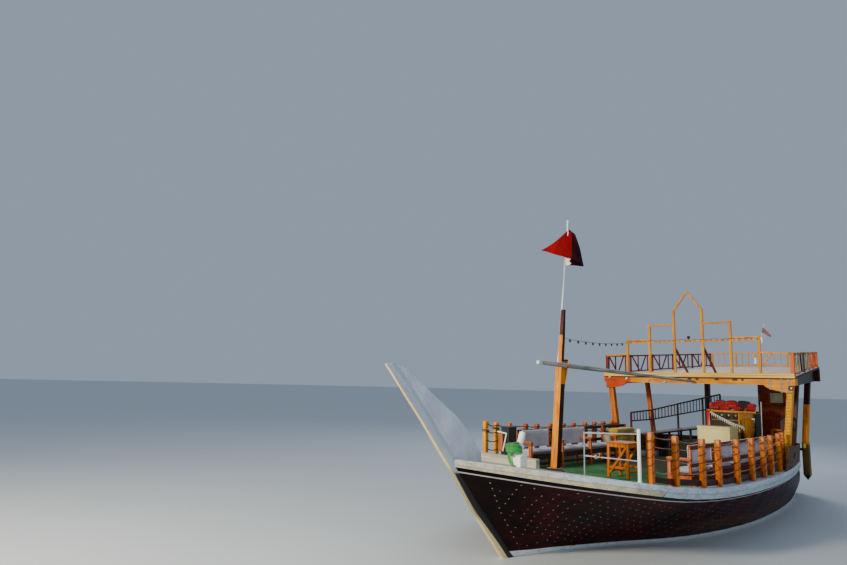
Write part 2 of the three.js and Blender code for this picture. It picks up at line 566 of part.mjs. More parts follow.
// upper deck: frame, planking, rails and the stepped gable front
{
  const sky = plate([[-1400, roofZ(-1400) - roofPlank - gap], [-7300, roofZ(-7300) - roofPlank - gap],
    [-7300, 4800], [-1400, 4800]], -3000, 3000);
  const beamX0 = -1840, beamX1 = -1650;
  const side = (s) => loft([beamX0 + 40, -6900].map((x) => {
    const y = s * (roofHalf(x) - stringerIn);
    return [[x, y - 45, stringerZ(x)], [x, y + 45, stringerZ(x)], [x, y + 45, 3900], [x, y - 45, 3900]];
  }));
  const cross = [-3050, -4350, -5650].map((x) => {
    const y = roofHalf(x) - stringerIn;
    return box(x - 45, x + 45, -y, y, roofZ(x) - roofPlank - 120, 3900);
  });
  const bracket = (s) => frontPlate([[2440, 3110], [2440, 3010], [2430, 2930], [2300, 2925], [2100, 2960],
    [1950, 3000], [1850, 3050], [1790, 3110]]
    .map(([y, z]) => [s * y, z]), beamX1 - 70, beamX1);
  const frame = join(box(beamX0, beamX1, -2500, 2500, frontBeamZ, 3900),
    box(-6930, -6800, -1640, 1640, 3260, 3900),
    side(1), side(-1), ...cross, bracket(1), bracket(-1));
  add('roof_frame', cut(frame, sky, ...frontPosts), 'pale');
}
{
  const ring = (x) => [[x, -roofHalf(x), roofZ(x) - roofPlank], [x, roofHalf(x), roofZ(x) - roofPlank],
    [x, roofHalf(x), roofZ(x)], [x, -roofHalf(x), roofZ(x)]];
  add('roof_deck', join(loft([ring(roofFrontX + 50), ring(roofAftX)]),
    box(roofFrontX, roofFrontX + 60, -2500, 2500, roofZ(roofFrontX) - roofPlank + 3, 3375)), 'roofDeck');
}
const upperRail = 560;
// where each panel's bars stand: [share along the bottom, share along the top]
const patterns = {
  upper_rail_port: [[0.56, 0.44]],
  upper_rail_starboard: [[0.335, 0.335], [0.4, 0.06], [0.44, 0.7], [0.77, 0.77]],
};
for (const [name, side] of [['upper_rail_port', 1], ['upper_rail_starboard', -1]]) {
  const xs = [-1755, -2780, -3810, -4840, -5870, -6895], parts = [];
  const y = (x) => side * (roofHalf(x) - 50), lift = (x) => roofZ(x) + gap + 0.6;
  const height = (x) => upperRail - 20.4 * (-x / 1000 - 1.7);
  xs.forEach((x, i) => {
    const h = i ? 22 : 40;
    parts.push(box(x - h, x + h, y(x) - h, y(x) + h, lift(x - h), lift(x) + height(x)));
    if (!i) return;
    const p = [xs[i - 1], y(xs[i - 1])], q = [x, y(x)];
    parts.push(bar([...p, lift(p[0]) + height(p[0]) - 28], [...q, lift(q[0]) + height(q[0]) - 28], 47, 41),
      bar([...p, lift(p[0]) + 47], [...q, lift(q[0]) + 47], 37, 35),
      ...slats([...p, lift(p[0]) + 45], [...q, lift(q[0]) + 45], height(x) - 65, side > 0 ? 40 : 29,
        patterns[name]));
  });
  add(name, join(...parts), side > 0 ? 'varnish' : 'dark');
}
{
  const x = -6950, y0 = -1540, y1 = 1540, z = roofZ(x - 20) + gap, h = 455, parts = [];
  for (const y of [y0, -770, 0, 770, y1]) parts.push(box(x - 20, x + 20, y - 22, y + 22, z, z + h));
  for (const lift of [45, h - 20]) parts.push(box(x - 18, x + 18, y0, y1, z + lift - 20, z + lift + 20));
  parts.push(...balusters([x, y0, z + 45], [x, y1, z + 45], h - 65, 190, 20));
  add('upper_rail_stern', join(...parts), 'pale');
}
{
  const x = roofFrontX + 30, foot = 3375 + gap;
  const stepsOut = [[380, 5040], [1080, 4690], [1750, 4290]], barZ = 4200, apexZ = 5560;
  const parts = [];
  for (const s of [1, -1]) {
    stepsOut.forEach(([y, z], i) => {
      parts.push(box(x - 26, x + 26, s * y - 30, s * y + 30, foot, z));
      if (i) parts.push(bar([x, s * stepsOut[i - 1][0], z - 35], [x, s * y, z - 35], 40, 45));
    });
    parts.push(bar([x, s * 380, 5020], [x, 0, apexZ - 30], 40, 45),
      bar([x - 10, s * 380, 4060], [x - 820, s * 380, roofZ(x - 820) - 30], 45, 45),
      bar([x, s * 1750, 3880], [x, s * (roofHalf(-1755) - 50 - 40 - gap), 3845], 45, 45));
  }
  parts.push(box(x - 20, x + 20, -1750, 1750, barZ - 22, barZ + 22));
  const below = plate([[-1705, 3000], [-1705, roofZ(-1705) + gap], [-3200, roofZ(-3200) + gap],
    [-3200, 3000]], -2600, 2600);
  add('gable_front', cut(join(...parts), below), 'pale');
}

// booth on the raised stern, with its door
const booth = { x0: -5800, x1: -5100, y0: 480, y1: 1030, frontY: 1225, top: 3235, wall: 30 };
const door = { x0: -5700, x1: -5190, z0: 1480, z1: 2960, room: 7 };
const doorAxis = { x: door.x1 + door.room / 2, y: booth.y0 - 15, radius: 11 };
{
  const { x0, x1, y0, y1, frontY, top, wall } = booth, z0 = poopZ + gap;
  const rect = (a, b, c, d) => [[a, c], [b, c], [b, d], [a, d]];
  add('booth_front', frontPlate(rect(y0, frontY, z0, top), x1 - wall, x1, [rect(800, 1160, 2610, 2890)]),
    'dark');
  add('booth_back', box(x0, x0 + wall, y0, y1, z0, top), 'dark');
  add('booth_outer_side', loft([[x0 + wall + gap, y1], [x1 - wall - gap, frontY]].map(([x, y]) =>
    [[x, y - wall, z0], [x, y, z0], [x, y, top], [x, y - wall, top]])), 'dark');
  const jamb = plate(rect(x0 + wall + gap, x1 - wall - gap, z0, top), y0, y0 + wall,
    [rect(door.x0 - door.room, door.x1 + door.room, door.z0 - door.room, door.z1 + door.room)]);
  const knuckle = (z, height, to) => [rod([doorAxis.x, doorAxis.y, z], [doorAxis.x, doorAxis.y,
    z + height], doorAxis.radius, doorAxis.radius, 12),
    box(Math.min(doorAxis.x, to), Math.max(doorAxis.x, to), doorAxis.y - 5, y0 + 2, z, z + height)];
  const onWall = [1620, 2720].flatMap((z) => knuckle(z, 50, doorAxis.x + 34));
  const onDoor = [1670.5, 2770.5].flatMap((z) => knuckle(z, 50, doorAxis.x - 34));
  add('booth_inner_side', join(jamb, ...onWall), 'dark');
  add('booth_door', join(box(door.x0, door.x1, y0, y0 + wall, door.z0, door.z1), ...onDoor,
    rod([door.x0 + 70, y0 - 45, 2200], [door.x0 + 70, y0 + 1, 2200], 14, 14, 8)), 'varnish');
}

// steering console and wheel
const wheel = { x: -3905, y: 400, z: 2120, radius: 280, shaft: 14, bore: 14.8 };
{
  const body = join(box(-3800, -3405, -190, 970, poopZ + gap, 2350),
    box(-3850, -3350, -220, 1000, 2340, 2385));
  const bore = rod([-3802, wheel.y, wheel.z], [-3720, wheel.y, wheel.z], wheel.bore, wheel.bore, 16);
  add('console', cut(body, bore), 'dark');
  const rim = new THREE.TorusGeometry(wheel.radius, 17, 6, 28).rotateY(Math.PI / 2).translate(wheel.x,
    wheel.y, wheel.z);
  const spokes = Array.from({ length: 8 }, (_, i) => {
    const a = (i * Math.PI) / 4, c = Math.cos(a), s = Math.sin(a);
    return rod([wheel.x, wheel.y + 20 * c, wheel.z + 20 * s],
      [wheel.x, wheel.y + 370 * c, wheel.z + 370 * s], 13, 11, 6);
  });
  add('helm_wheel', join(rim, ...spokes, rod([wheel.x - 30, wheel.y, wheel.z], [wheel.x + 30, wheel.y,
    wheel.z], 60, 60, 16),
    rod([wheel.x, wheel.y, wheel.z], [-3725, wheel.y, wheel.z], wheel.shaft, wheel.shaft, 16)), 'varnish');
}

// chest, barrel and tables
const chest = { x0: -2750, x1: -2200, y0: -80, y1: 750, top: 1940, wall: 50 };
{
  const { x0, x1, y0, y1, top, wall } = chest, z0 = topOn(deckZ, x0, x1);
  add('chest', cut(box(x0, x1, y0, y1, z0, top), box(x0 + wall, x1 - wall, y0 + wall, y1 - wall, z0 + 300,
    top + 10)), 'cream');
  add('chest_lid', join(box(x0 - 8, x1 + 12, y0 - 10, y1 + 10, top + gap, top + 55),
    box(x1 + 8, x1 + 30, (y0 + y1) / 2 - 90, (y0 + y1) / 2 + 90, top + 8, top + 34)), 'cream');
}
{
  const x = -3020, y = 905, z = topOn(deckZ, x - 151, x + 151);
  // [radius, height]: a stand with a staved barrel on it
  const profile = [[0, 0], [150, 0], [150, 40], [110, 70], [110, 430], [150, 460], [135, 500], [158, 700],
    [164, 850], [158, 1000], [135, 1180], [0, 1180]];
  add('barrel', new THREE.LatheGeometry(profile.map(([r, h]) => new THREE.Vector2(r, h)),
    16).rotateX(Math.PI / 2).translate(x, y, z), 'pale');
}
function table(name, x, y, floor, sizeX, sizeY, height, braced) {
  const parts = [box(x - sizeX / 2, x + sizeX / 2, y - sizeY / 2, y + sizeY / 2, floor + height - 35,
    floor + height)];
  const foot = (i, j) => [x + i * (sizeX / 2 - 25), y + j * (sizeY / 2 - 25)];
  for (const i of [-1, 1]) for (const j of [-1, 1]) {
    const [fx, fy] = foot(i, j);
    parts.push(box(fx - 22, fx + 22, fy - 22, fy + 22, floor, floor + height - 20));
  }
  for (const j of [-1, 1]) {
    parts.push(bar([...foot(-1, j), floor + 120], [...foot(1, j), floor + 120], 30, 40));
    if (braced) parts.push(bar([...foot(-1, j), floor + 130], [...foot(1, j), floor + height - 60], 28, 40),
      bar([...foot(1, j), floor + 130], [...foot(-1, j), floor + height - 60], 28, 40));
  }
  for (const i of [-1, 1]) parts.push(bar([...foot(i, -1), floor + 200], [...foot(i, 1), floor + 200], 30,
    40));
  add(name, join(...parts), 'varnish');
}
table('deck_table', 2000, 110, topOn(deckZ, 1720, 2280), 560, 520, 740, true);
table('stern_table', -4300, 1280, poopZ + gap, 420, 360, 500, false);

// benches along both sides and their cushions
const bench = { x0: -1250, x1: 3050, in: 1600, out: 2060, seat: 1400, back: 1930, arm: 60 };
for (const [word, side, x0, padX0] of [['port', 1, bench.x0, bench.x0 + 70],
  ['starboard', -1, -1950, -800]]) {
  const span = (a, b) => (side > 0 ? [a, b] : [-b, -a]);
  const seat = box(x0, bench.x1, ...span(bench.in, bench.out), bench.seat - 35, bench.seat);
  const ends = [0, 0.25, 0.5, 0.75, 1].map((t) => {
    // an end that reaches over the gunwale stands on it
    const x = lerp(x0 + 25, bench.x1 - 25, t), z0 = topOn(deckZ, x - 25, x + 25);
    const back0 = edgeAt(x - 25).inner > bench.out ? z0 : topOn(sheerZ, x - 25, x + 25);
    return [box(x - 25, x + 25, ...span(bench.in, bench.in + bench.arm), z0, bench.seat + 240),
      box(x - 25, x + 25, ...span(bench.out - bench.arm, bench.out), back0, bench.back),
      box(x - 25, x + 25, ...span(bench.in - 10, bench.out - (t % 1 ? 160 : 0)), bench.seat + 200,
        bench.seat + 240)];
  }).flat();
  const slats = [1560, 1880].map((z) => box(x0, bench.x1, ...span(bench.out - 30, bench.out), z - 40,
    z + 40));
  const apron = box(x0, bench.x1, ...span(bench.in + 10, bench.in + 40), bench.seat - 130, bench.seat - 20);
  add(`bench_${word}`, join(seat, ...ends, ...slats, apron), 'varnish');
  add(`seat_pad_${word}`, box(padX0, bench.x1 - 70, ...span(bench.in + bench.arm + 8,
    bench.out - bench.arm - 8), bench.seat + 0.6, bench.seat + 82), 'cushion');
  add(`back_pad_${word}`, box(padX0, bench.x1 - 70, ...span(bench.out - bench.arm - 75,
    bench.out - bench.arm - 0.6), bench.seat + 90, 1945), 'cushion');
}
add('rug_stack', box(-1895, -860, -(bench.out - bench.arm - 8), -(bench.in + bench.arm + 8),
  bench.seat + 0.6, 1850), 'pale');
{
  // a long plank bench that follows the starboard rail and rises aft
  const seatZ = (x) => 1670 + 0.06 * (-x - 2200), outer = (x) => sheerY(x) - 260, wide = 400;
  const xs = [-2150, -3100, -4000, -5000, -5900], parts = [];
  const ring = (x) => [[x, -outer(x), seatZ(x) - 40], [x, -outer(x) + wide, seatZ(x) - 40],
    [x, -outer(x) + wide, seatZ(x)], [x, -outer(x), seatZ(x)]];
  parts.push(loft(xs.map(ring)));
  for (const x of [-2200, -3150, -4050, -4950, -5850]) {
    const floor = x > poopFront ? topOn(deckZ, x - 25, x + 25) : poopZ + gap;
    for (const d of [30, wide - 80]) parts.push(box(x - 25, x + 25, -outer(x) + d, -outer(x) + d + 50,
      floor, seatZ(x) - 20));
  }
  add('bench_stern', join(...parts), 'dark');
}

// life jackets on the console
add('life_jackets', box(-3760, -3460, -190, 900, 2385.6, 2680), 'red');

// rudder and propeller
{
  const top = 900, low = -1230, thick = 34;
  const ax = (z) => rudderAxisX(z);
  const blade = plate([[ax(low), low], [ax(low) - 760, low + 60], [ax(-450) - 640, -450],
    [ax(-50) - 330, -50], [ax(top) - 260, top], [ax(top), top]], -thick, thick);
  const stock = rod(rudderAxis(low), rudderAxis(top), thick, thick, 16);
  const along = new THREE.Vector3(-Math.sin(rudderTilt), 0, Math.cos(rudderTilt));
  const notch = ironHeights.map((z) => {
    const c = new THREE.Vector3(...rudderAxis(z)), half = along.clone().multiplyScalar(19);
    return rod(c.clone().sub(half).toArray(), c.clone().add(half).toArray(), 66, 66, 16);
  });
  const pins = ironHeights.map((z) => {
    const c = new THREE.Vector3(...rudderAxis(z)), half = along.clone().multiplyScalar(40);
    return rod(c.clone().sub(half).toArray(), c.clone().add(half).toArray(), ironPin, ironPin, 16);
  });
  const body = cut(join(blade, stock), ...notch);
  add('rudder', join(body, ...pins), 'hull');
}
{
  const { x, z, radius } = propeller;
  const hub = rod([x - 95, 0, z], [x + 75, 0, z], 52, 60, 16);
  const blades = [0, 1, 2].map((i) => {
    const b = new THREE.BoxGeometry(26, 190, radius - 40).translate(0, 0, (radius + 40) / 2 - 10);
    const twist = new THREE.Matrix4().makeRotationZ(0.6);
    return b.applyMatrix4(twist).rotateX((i * 2 * Math.PI) / 3).translate(x, 0, z);
  });
  add('propeller', join(hub, ...blades, rod([x, 0, z], [roomFront + boss.depth - 10, 0, z], 25.5, 25.5,
    16)), 'bronze');
}

export default group;
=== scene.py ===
# A wooden dhow afloat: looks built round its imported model. Metres, waterline at z = 0, bow to +X, port to +Y.
import math
import random
import bpy
from mathutils import Matrix, Vector


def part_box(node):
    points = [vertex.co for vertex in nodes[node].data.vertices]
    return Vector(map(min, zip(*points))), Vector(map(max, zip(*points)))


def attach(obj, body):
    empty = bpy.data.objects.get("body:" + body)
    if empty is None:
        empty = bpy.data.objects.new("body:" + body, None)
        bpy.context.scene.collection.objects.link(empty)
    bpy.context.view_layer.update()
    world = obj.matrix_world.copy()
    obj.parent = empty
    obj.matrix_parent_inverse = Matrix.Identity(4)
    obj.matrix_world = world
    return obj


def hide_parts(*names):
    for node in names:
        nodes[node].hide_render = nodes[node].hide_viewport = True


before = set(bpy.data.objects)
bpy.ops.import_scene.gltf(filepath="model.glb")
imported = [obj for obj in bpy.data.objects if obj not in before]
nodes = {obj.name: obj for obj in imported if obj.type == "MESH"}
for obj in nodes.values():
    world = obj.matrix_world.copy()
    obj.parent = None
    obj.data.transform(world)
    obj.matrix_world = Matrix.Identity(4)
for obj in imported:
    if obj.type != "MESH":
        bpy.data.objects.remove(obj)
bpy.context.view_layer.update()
rng = random.Random(8)
print("frame loaded:", len(nodes), "nodes")


# camera at the photograph's viewing angle
view = {"eye": (15.058, 7.417, 3.0), "forward": (-0.6791, -0.7181, 0.1524), "right": (-0.7266, 0.6871, 0.0),
        "roll": 1.4, "focalPixels": 636, "imageWidth": 847, "sensor": 36, "farthest": 600}
forward, right = Vector(view["forward"]).normalized(), Vector(view["right"]).normalized()
up = right.cross(forward)
tilt = math.radians(view["roll"])
axisX, axisY = right * math.cos(tilt) + up * math.sin(tilt), up * math.cos(tilt) - right * math.sin(tilt)
cameraData = bpy.data.cameras.new("view")
cameraData.sensor_fit, cameraData.sensor_width = "HORIZONTAL", view["sensor"]
cameraData.lens = view["sensor"] * view["focalPixels"] / view["imageWidth"]
cameraData.clip_end = view["farthest"]
camera = bpy.data.objects.new("view", cameraData)
camera.matrix_world = Matrix.Translation(view["eye"]) @ Matrix((axisX, axisY, -forward)).transposed().to_4x4()
bpy.context.scene.collection.objects.link(camera)
bpy.context.scene.camera = camera


# shader helpers
class Socket:
    # a socket of a material's nodes; sums and products of values add Math nodes
    def __init__(self, tree, socket):
        self.tree, self.socket = tree, socket

    def node(self, kind, settings=None, values=None, out=0):
        made = self.tree.nodes.new("ShaderNode" + kind)
        for key, value in (settings or {}).items():
            if key == "stops":
                ramp = made.color_ramp
                while len(ramp.elements) < len(value):
                    ramp.elements.new(0.5)
                for element, (place, level) in zip(ramp.elements, value):
                    element.position = place
                for element, (place, level) in zip(ramp.elements, value):
                    element.color = (level, level, level, 1)
            else:
                setattr(made, key, value)
        for key, value in (values or {}).items():
            if isinstance(value, Socket):
                self.tree.links.new(value.socket, made.inputs[key])
            else:
                made.inputs[key].default_value = value
        return Socket(self.tree, made.outputs[out])

    def maths(self, operation, *others):
        return self.node("Math", {"operation": operation}, dict(enumerate((self,) + others)))

    def flipped(self, operation, other):
        return self.node("Math", {"operation": operation}, {0: other, 1: self})

    def __add__(self, other):
        return self.maths("ADD", other)

    def __radd__(self, other):
        return self.maths("ADD", other)

    def __sub__(self, other):
        return self.maths("SUBTRACT", other)

    def __rsub__(self, other):
        return self.flipped("SUBTRACT", other)

    def __mul__(self, other):
        return self.maths("MULTIPLY", other)

    def __rmul__(self, other):
        return self.maths("MULTIPLY", other)

    def __truediv__(self, other):
        return self.maths("DIVIDE", other)

    def __rtruediv__(self, other):
        return self.flipped("DIVIDE", other)

    def __pow__(self, other):
        return self.maths("POWER", other)

    def __lt__(self, other):
        return self.maths("LESS_THAN", other)

    def __gt__(self, other):
        return self.maths("GREATER_THAN", other)

    def axis(self, letter):
        return self.node("SeparateXYZ", None, {0: self}, "xyz".index(letter))

    def axes(self, letters):
        return [self.axis(letter) for letter in letters]

    def stretched(self, x, y, z):
        return self.node("VectorMath", {"operation": "MULTIPLY"}, {0: self, 1: (x, y, z)})

    def noise(self, scale, detail=3, roughness=0.55):
        values = {"Vector": self, "Scale": scale, "Detail": detail, "Roughness": roughness}
        return self.node("TexNoise", None, values)

    def ramp(self, *stops):
        return self.node("ValToRGB", {"stops": stops}, {0: self})

    def between(self, low, high):
        return self.node("MapRange", {"interpolation_type": "SMOOTHSTEP"}, {0: self, 1: low, 2: high})

    def band(self, low, high, soft):
        # 1 between low and high
        return self.between(low - soft, low + soft) * (1 - self.between(high - soft, high + soft))

    def seams(self, width, soft):
        # 1 along the joints between boards of a width
        return 1 - (self / width).maths("PINGPONG", 0.5).between(0.0, soft)


def tint(r, g, b):
    def linear(c):
        c = c / 255
        return c / 12.92 if c < 0.04045 else ((c + 0.055) / 1.055) ** 2.4
    return (linear(r), linear(g), linear(b), 1.0)


def mixed(factor, a, b):
    # a where the factor is 0, b where it is 1; a plain colour is its red, green and blue, up to 255
    a, b = [tint(*colour) if isinstance(colour, tuple) else colour for colour in (a, b)]
    return factor.node("Mix", {"data_type": "RGBA", "blend_type": "MIX"}, {0: factor, 6: a, 7: b}, 2)


def newFinish(name):
    # an empty material, and its object coordinates
    made = bpy.data.materials.new(name)
    made.use_nodes = True
    made.node_tree.nodes.clear()
    coordinates = made.node_tree.nodes.new("ShaderNodeTexCoord")
    return made, Socket(made.node_tree, coordinates.outputs["Object"])


def finishUp(made, p, colour, rough, height=None, strength=0.3, depth=0.01, soften=0.0, **constants):
    shader = made.node_tree.nodes.new("ShaderNodeBsdfPrincipled")
    tree = made.node_tree
    values = {"Base Color": colour, "Roughness": rough}
    normal = None
    if soften:
        normal = p.node("Bevel", {"samples": 4}, {"Radius": soften})
    if height is not None:
        inputs = {"Strength": strength, "Distance": depth, "Height": height}
        if normal is not None:
            inputs["Normal"] = normal
        normal = p.node("Bump", None, inputs)
    if normal is not None:
        values["Normal"] = normal
    values.update({key.replace("_", " "): value for key, value in constants.items()})
    for key, value in values.items():
        if isinstance(value, Socket):
            tree.links.new(value.socket, shader.inputs[key])
        else:
            shader.inputs[key].default_value = value
    output = tree.nodes.new("ShaderNodeOutputMaterial")
    tree.links.new(shader.outputs[0], output.inputs[0])
    return made


def normalOf(p):
    return p.node("NewGeometry", None, None, "Normal")


def along(p, axis, squeeze=0.05):
    return p.stretched(*[squeeze if letter == axis else 1 for letter in "xyz"])


# timber finishes
def grained(p, axis, grain, blotchScale=1.9):
    # streaks along the grain, broad blotches, and both together as one tone from dark to light
    streaks = along(p, axis).noise(grain, 5, 0.6)
    blotch = p.noise(blotchScale, 3)
    return streaks, blotch, (streaks * 0.75 + blotch * 0.35).between(0.38, 0.72)


def wood(name, light, dark, axis, gloss=0.35, grain=30, worn=0.35, wornTint=(190, 165, 130)):
    made, p = newFinish(name)
    streaks, blotch, tone = grained(p, axis, grain, 1.7)
    fine = along(p, axis, 0.02).noise(grain * 5, 2)
    colour = mixed(tone, dark, light)
    colour = mixed((fine * 0.5).between(0.1, 0.4), mixed(fine, colour, dark), colour)
    bare = p.noise(5.5, 6, 0.65).between(0.62, 0.75) * worn
    colour = mixed(bare, colour, wornTint)
    rough = gloss + blotch * 0.2 + bare * 0.4
    height = streaks * 0.6 + fine * 0.4
    return finishUp(made, p, colour, rough, height, 0.35, 0.004, 0.006, Specular_IOR_Level=0.28)


varnish = wood("varnished_teak", (234, 132, 2), (166, 72, 0), "z", 0.3, worn=0.12)
varnishFore = wood("varnished_teak_fore_aft", (226, 108, 14), (150, 56, 8), "x", 0.3, worn=0.12)
golden = wood("golden_teak", (250, 182, 0), (210, 126, 0), "z", 0.38, worn=0.12)
darkTeak = wood("dark_teak", (104, 52, 30), (48, 24, 18), "z", 0.4, wornTint=(120, 88, 62))
darkFore = wood("dark_teak_fore_aft", (84, 44, 30), (36, 20, 18), "x", 0.42, wornTint=(120, 88, 62))
redTeak = wood("red_teak", (150, 44, 14), (76, 20, 10), "z", 0.38, worn=0.2, wornTint=(170, 90, 40))
boothWood = wood("booth_panel", (184, 72, 24), (104, 38, 14), "z", 0.36, worn=0.2, wornTint=(150, 80, 40))
redFore = wood("red_teak_fore_aft", (128, 56, 26), (64, 26, 14), "x", 0.4, worn=0.2, wornTint=(150, 96, 56))
boothTrim = wood("booth_trim", (196, 90, 28), (120, 48, 16), "z", 0.34, worn=0.15, wornTint=(170, 96, 50))
oldGold = wood("old_gold_wood", (196, 132, 30), (120, 74, 18), "z", 0.36, worn=0.25, wornTint=(214, 180, 110))
consoleOlive = wood("console_panel", (74, 72, 46), (30, 30, 24), "z", 0.4, worn=0.3, wornTint=(110, 100, 64))
oldBoard = wood("weathered_board", (112, 82, 64), (60, 42, 32), "x", 0.62, 18, 0.5, (140, 120, 100))


# painted finishes
def paint(name, main, stain, under, gloss=0.45, chips=0.6, soften=0.008):
    made, p = newFinish(name)
    broad = p.noise(1.1, 4, 0.6)
    fine = p.noise(11, 5, 0.7)
    run = p.stretched(1, 1, 0.16).noise(7, 4, 0.6)
    dirt = run.between(0.5, 0.78) * 0.55 + fine.between(0.55, 0.8) * 0.3
    colour = mixed(broad.between(0.3, 0.7) * 0.5, main, tuple(0.5 * (a + b) for a, b in zip(main, stain)))
    colour = mixed(dirt, colour, stain)
    chip = p.noise(26, 6, 0.75).between(0.66, 0.7) * chips
    colour = mixed(chip, colour, under)
    rough, height = gloss + dirt * 0.3 + chip * 0.3, fine * 0.3 - chip * 0.5
    return finishUp(made, p, colour, rough, height, 0.35, 0.006, soften)


def foredeckFinish():
    # cream-grey boards; the cross plank's starboard end is bare and dark
    made, p = newFinish("foredeck_boards")
    x, y = p.axes("xy")
    fine = p.noise(13, 5, 0.7)
    streak = along(p, "y").noise(14, 4, 0.6)
    colour = mixed(streak.between(0.3, 0.7), (158, 150, 134), (204, 198, 182))
    seam = y.seams(0.15, 0.04) * normalOf(p).axis("z").between(0.6, 0.8) * x.between(5.15, 5.16)
    colour = mixed(seam * 0.7, colour, (70, 60, 50))
    colour = mixed(fine.between(0.56, 0.7) * 0.7, colour, (110, 98, 82))
    end = (1 - y.between(-1.44, -1.4)) * (1 - x.between(5.12, 5.13))
    colour = mixed(end, colour, mixed(streak, (44, 36, 32), (96, 84, 74)))
    return finishUp(made, p, colour, 0.6, fine * 0.5 - seam, 0.4, 0.006, 0.008)


whitePaint = paint("white_gloss_paint", (250, 250, 242), (212, 206, 190), (120, 96, 70), 0.3, 0.8)
creamPaint = paint("cream_enamel", (255, 238, 164), (232, 208, 126), (170, 152, 112), 0.3, 0.35)
foredeckPaint = foredeckFinish()
blackPaint = paint("black_paint", (34, 34, 36), (58, 54, 50), (110, 100, 90), 0.35, 0.5)
redPaint = paint("red_paint", (196, 52, 24), (150, 40, 22), (120, 80, 60), 0.35, 0.4)
poleWhite = paint("flagpole_white", (250, 250, 246), (232, 232, 228), (206, 204, 198), 0.4, 0.15)
yellowPaint = paint("yellow_enamel", (244, 206, 40), (190, 150, 24), (120, 90, 30), 0.3, 0.2)
pinkMetal = paint("pale_pipe", (224, 208, 204), (176, 150, 140), (120, 80, 60), 0.35, 0.4, 0.0)
greyMetal = paint("galvanised", (150, 152, 154), (116, 108, 98), (96, 70, 50), 0.4, 0.5, 0.0)


def plainFinish(name, main, stain, gloss, metallic=0.0, scale=40, strength=0.2):
    made, p = newFinish(name)
    fine = p.noise(scale, 4)
    broad = p.noise(scale * 0.12, 3)
    colour = mixed((fine * 0.5 + broad * 0.5).between(0.35, 0.68), main, stain)
    return finishUp(made, p, colour, gloss + broad * 0.2, fine, strength, 0.002, 0.0, Metallic=metallic)


bronze = plainFinish("aged_bronze", (176, 128, 70), (94, 84, 52), 0.3, 0.9)
iron = plainFinish("dark_iron", (52, 50, 48), (84, 60, 44), 0.5, 0.6)
blackRubber = plainFinish("black_rubber", (26, 26, 28), (44, 42, 40), 0.6)
olivePane = plainFinish("olive_pane", (226, 222, 180), (180, 174, 136), 0.12, 0.0, 6, 0.02)
clearGlass = plainFinish("grey_glass", (150, 160, 160), (104, 116, 120), 0.08, 0.0, 12, 0.02)


# hull: dark oiled planks, white plugs on each frame, a white boot-top and dark bottom paint
sheerLine = {"x": (-6.65, -5.5, -4, -2, 0, 2, 3.7, 5, 6, 6.75, 7.33),
             "z": (0.92, 1.01, 1.095, 1.155, 1.145, 1.16, 1.26, 1.425, 1.56, 1.67, 1.755),
             "cap": (0.15, 0.16, 0.175, 0.185, 0.185, 0.185, 0.185, 0.18, 0.165, 0.145, 0.125)}
stemEdge = {"z": (0, 0.82, 1.49, 1.92, 2.35, 2.84, 3.235), "x": (6.02, 6.76, 7.27, 7.64, 8.0, 8.44, 8.79),
            "from": 6, "reach": 3}
spans = len(sheerLine["x"]) - 1


def sheerValue(key, i, t):
    # a smooth curve through the listed values, at share t past the i-th
    a, b, c, d = [sheerLine[key][max(0, min(spans, i + k))] for k in (-1, 0, 1, 2)]
    square, cube = 2 * a - 5 * b + 4 * c - d, 3 * b - a - 3 * c + d
    return 0.5 * (2 * b + (c - a) * t + square * t ** 2 + cube * t ** 3)


stations = [{key: sheerValue(key, i, j / 3) for key in sheerLine} for i in range(spans) for j in range(3)]
stations.append({key: sheerLine[key][-1] for key in sheerLine})


def belowSheer(p):
    # how far a point lies under the gunwale's top, and how deep the gunwale is there
    x, z = p.axes("xz")
    low, high = stations[0]["x"], stations[-1]["x"]
    share = (x - low) / (high - low)
    sheer = share.ramp(*[((s["x"] - low) / (high - low), s["z"] / 2) for s in stations]) * 2
    cap = share.ramp(*[((a - low) / (high - low), b) for a, b in zip(sheerLine["x"], sheerLine["cap"])])
    return sheer - z, cap


def behindStem(p):
    # how far aft of the stem's fore edge a point lies
    x, z = p.axes("xz")
    top, start, reach = stemEdge["z"][-1], stemEdge["from"], stemEdge["reach"]
    stops = [(a / top, (b - start) / reach) for a, b in zip(stemEdge["z"], stemEdge["x"])]
    return (z / top).ramp(*stops) * reach + start - x


def weedy(growth):
    # dark bottom paint, greener where weed grows
    return mixed(growth.between(0.42, 0.7), (24, 52, 58), (52, 66, 50))


def bottomAndBoot(p, colour, rough):
    # bottom paint under a wavering waterline, and over it the boot-top, which is deeper toward the bow
    x, z = p.axes("xz")
    level = z + (p.noise(2.2, 3) - 0.5) * 0.012
    deep = x.between(3.5, 6.2) * 0.05 + 0.06
    above = level.between(-0.004, 0.004)
    boot = above * (1 - (level - deep).between(-0.004, 0.004))
    below = 1 - above
    bootTint = mixed(p.noise(9, 5, 0.7).between(0.5, 0.75), (222, 226, 226), (150, 154, 142))
    colour = mixed(boot, colour, bootTint)
    colour = mixed(below, colour, weedy(p.noise(3.0, 6, 0.7)))
    return colour, rough + below * 0.3 + boot * 0.2


hullLook = {"plank": 0.16, "plankLength": 3.1, "ribs": 0.19, "rows": 0.085, "plug": (0.006, 0.0105),
            "stemRow": 0.42, "line": (0.06, 0.079)}


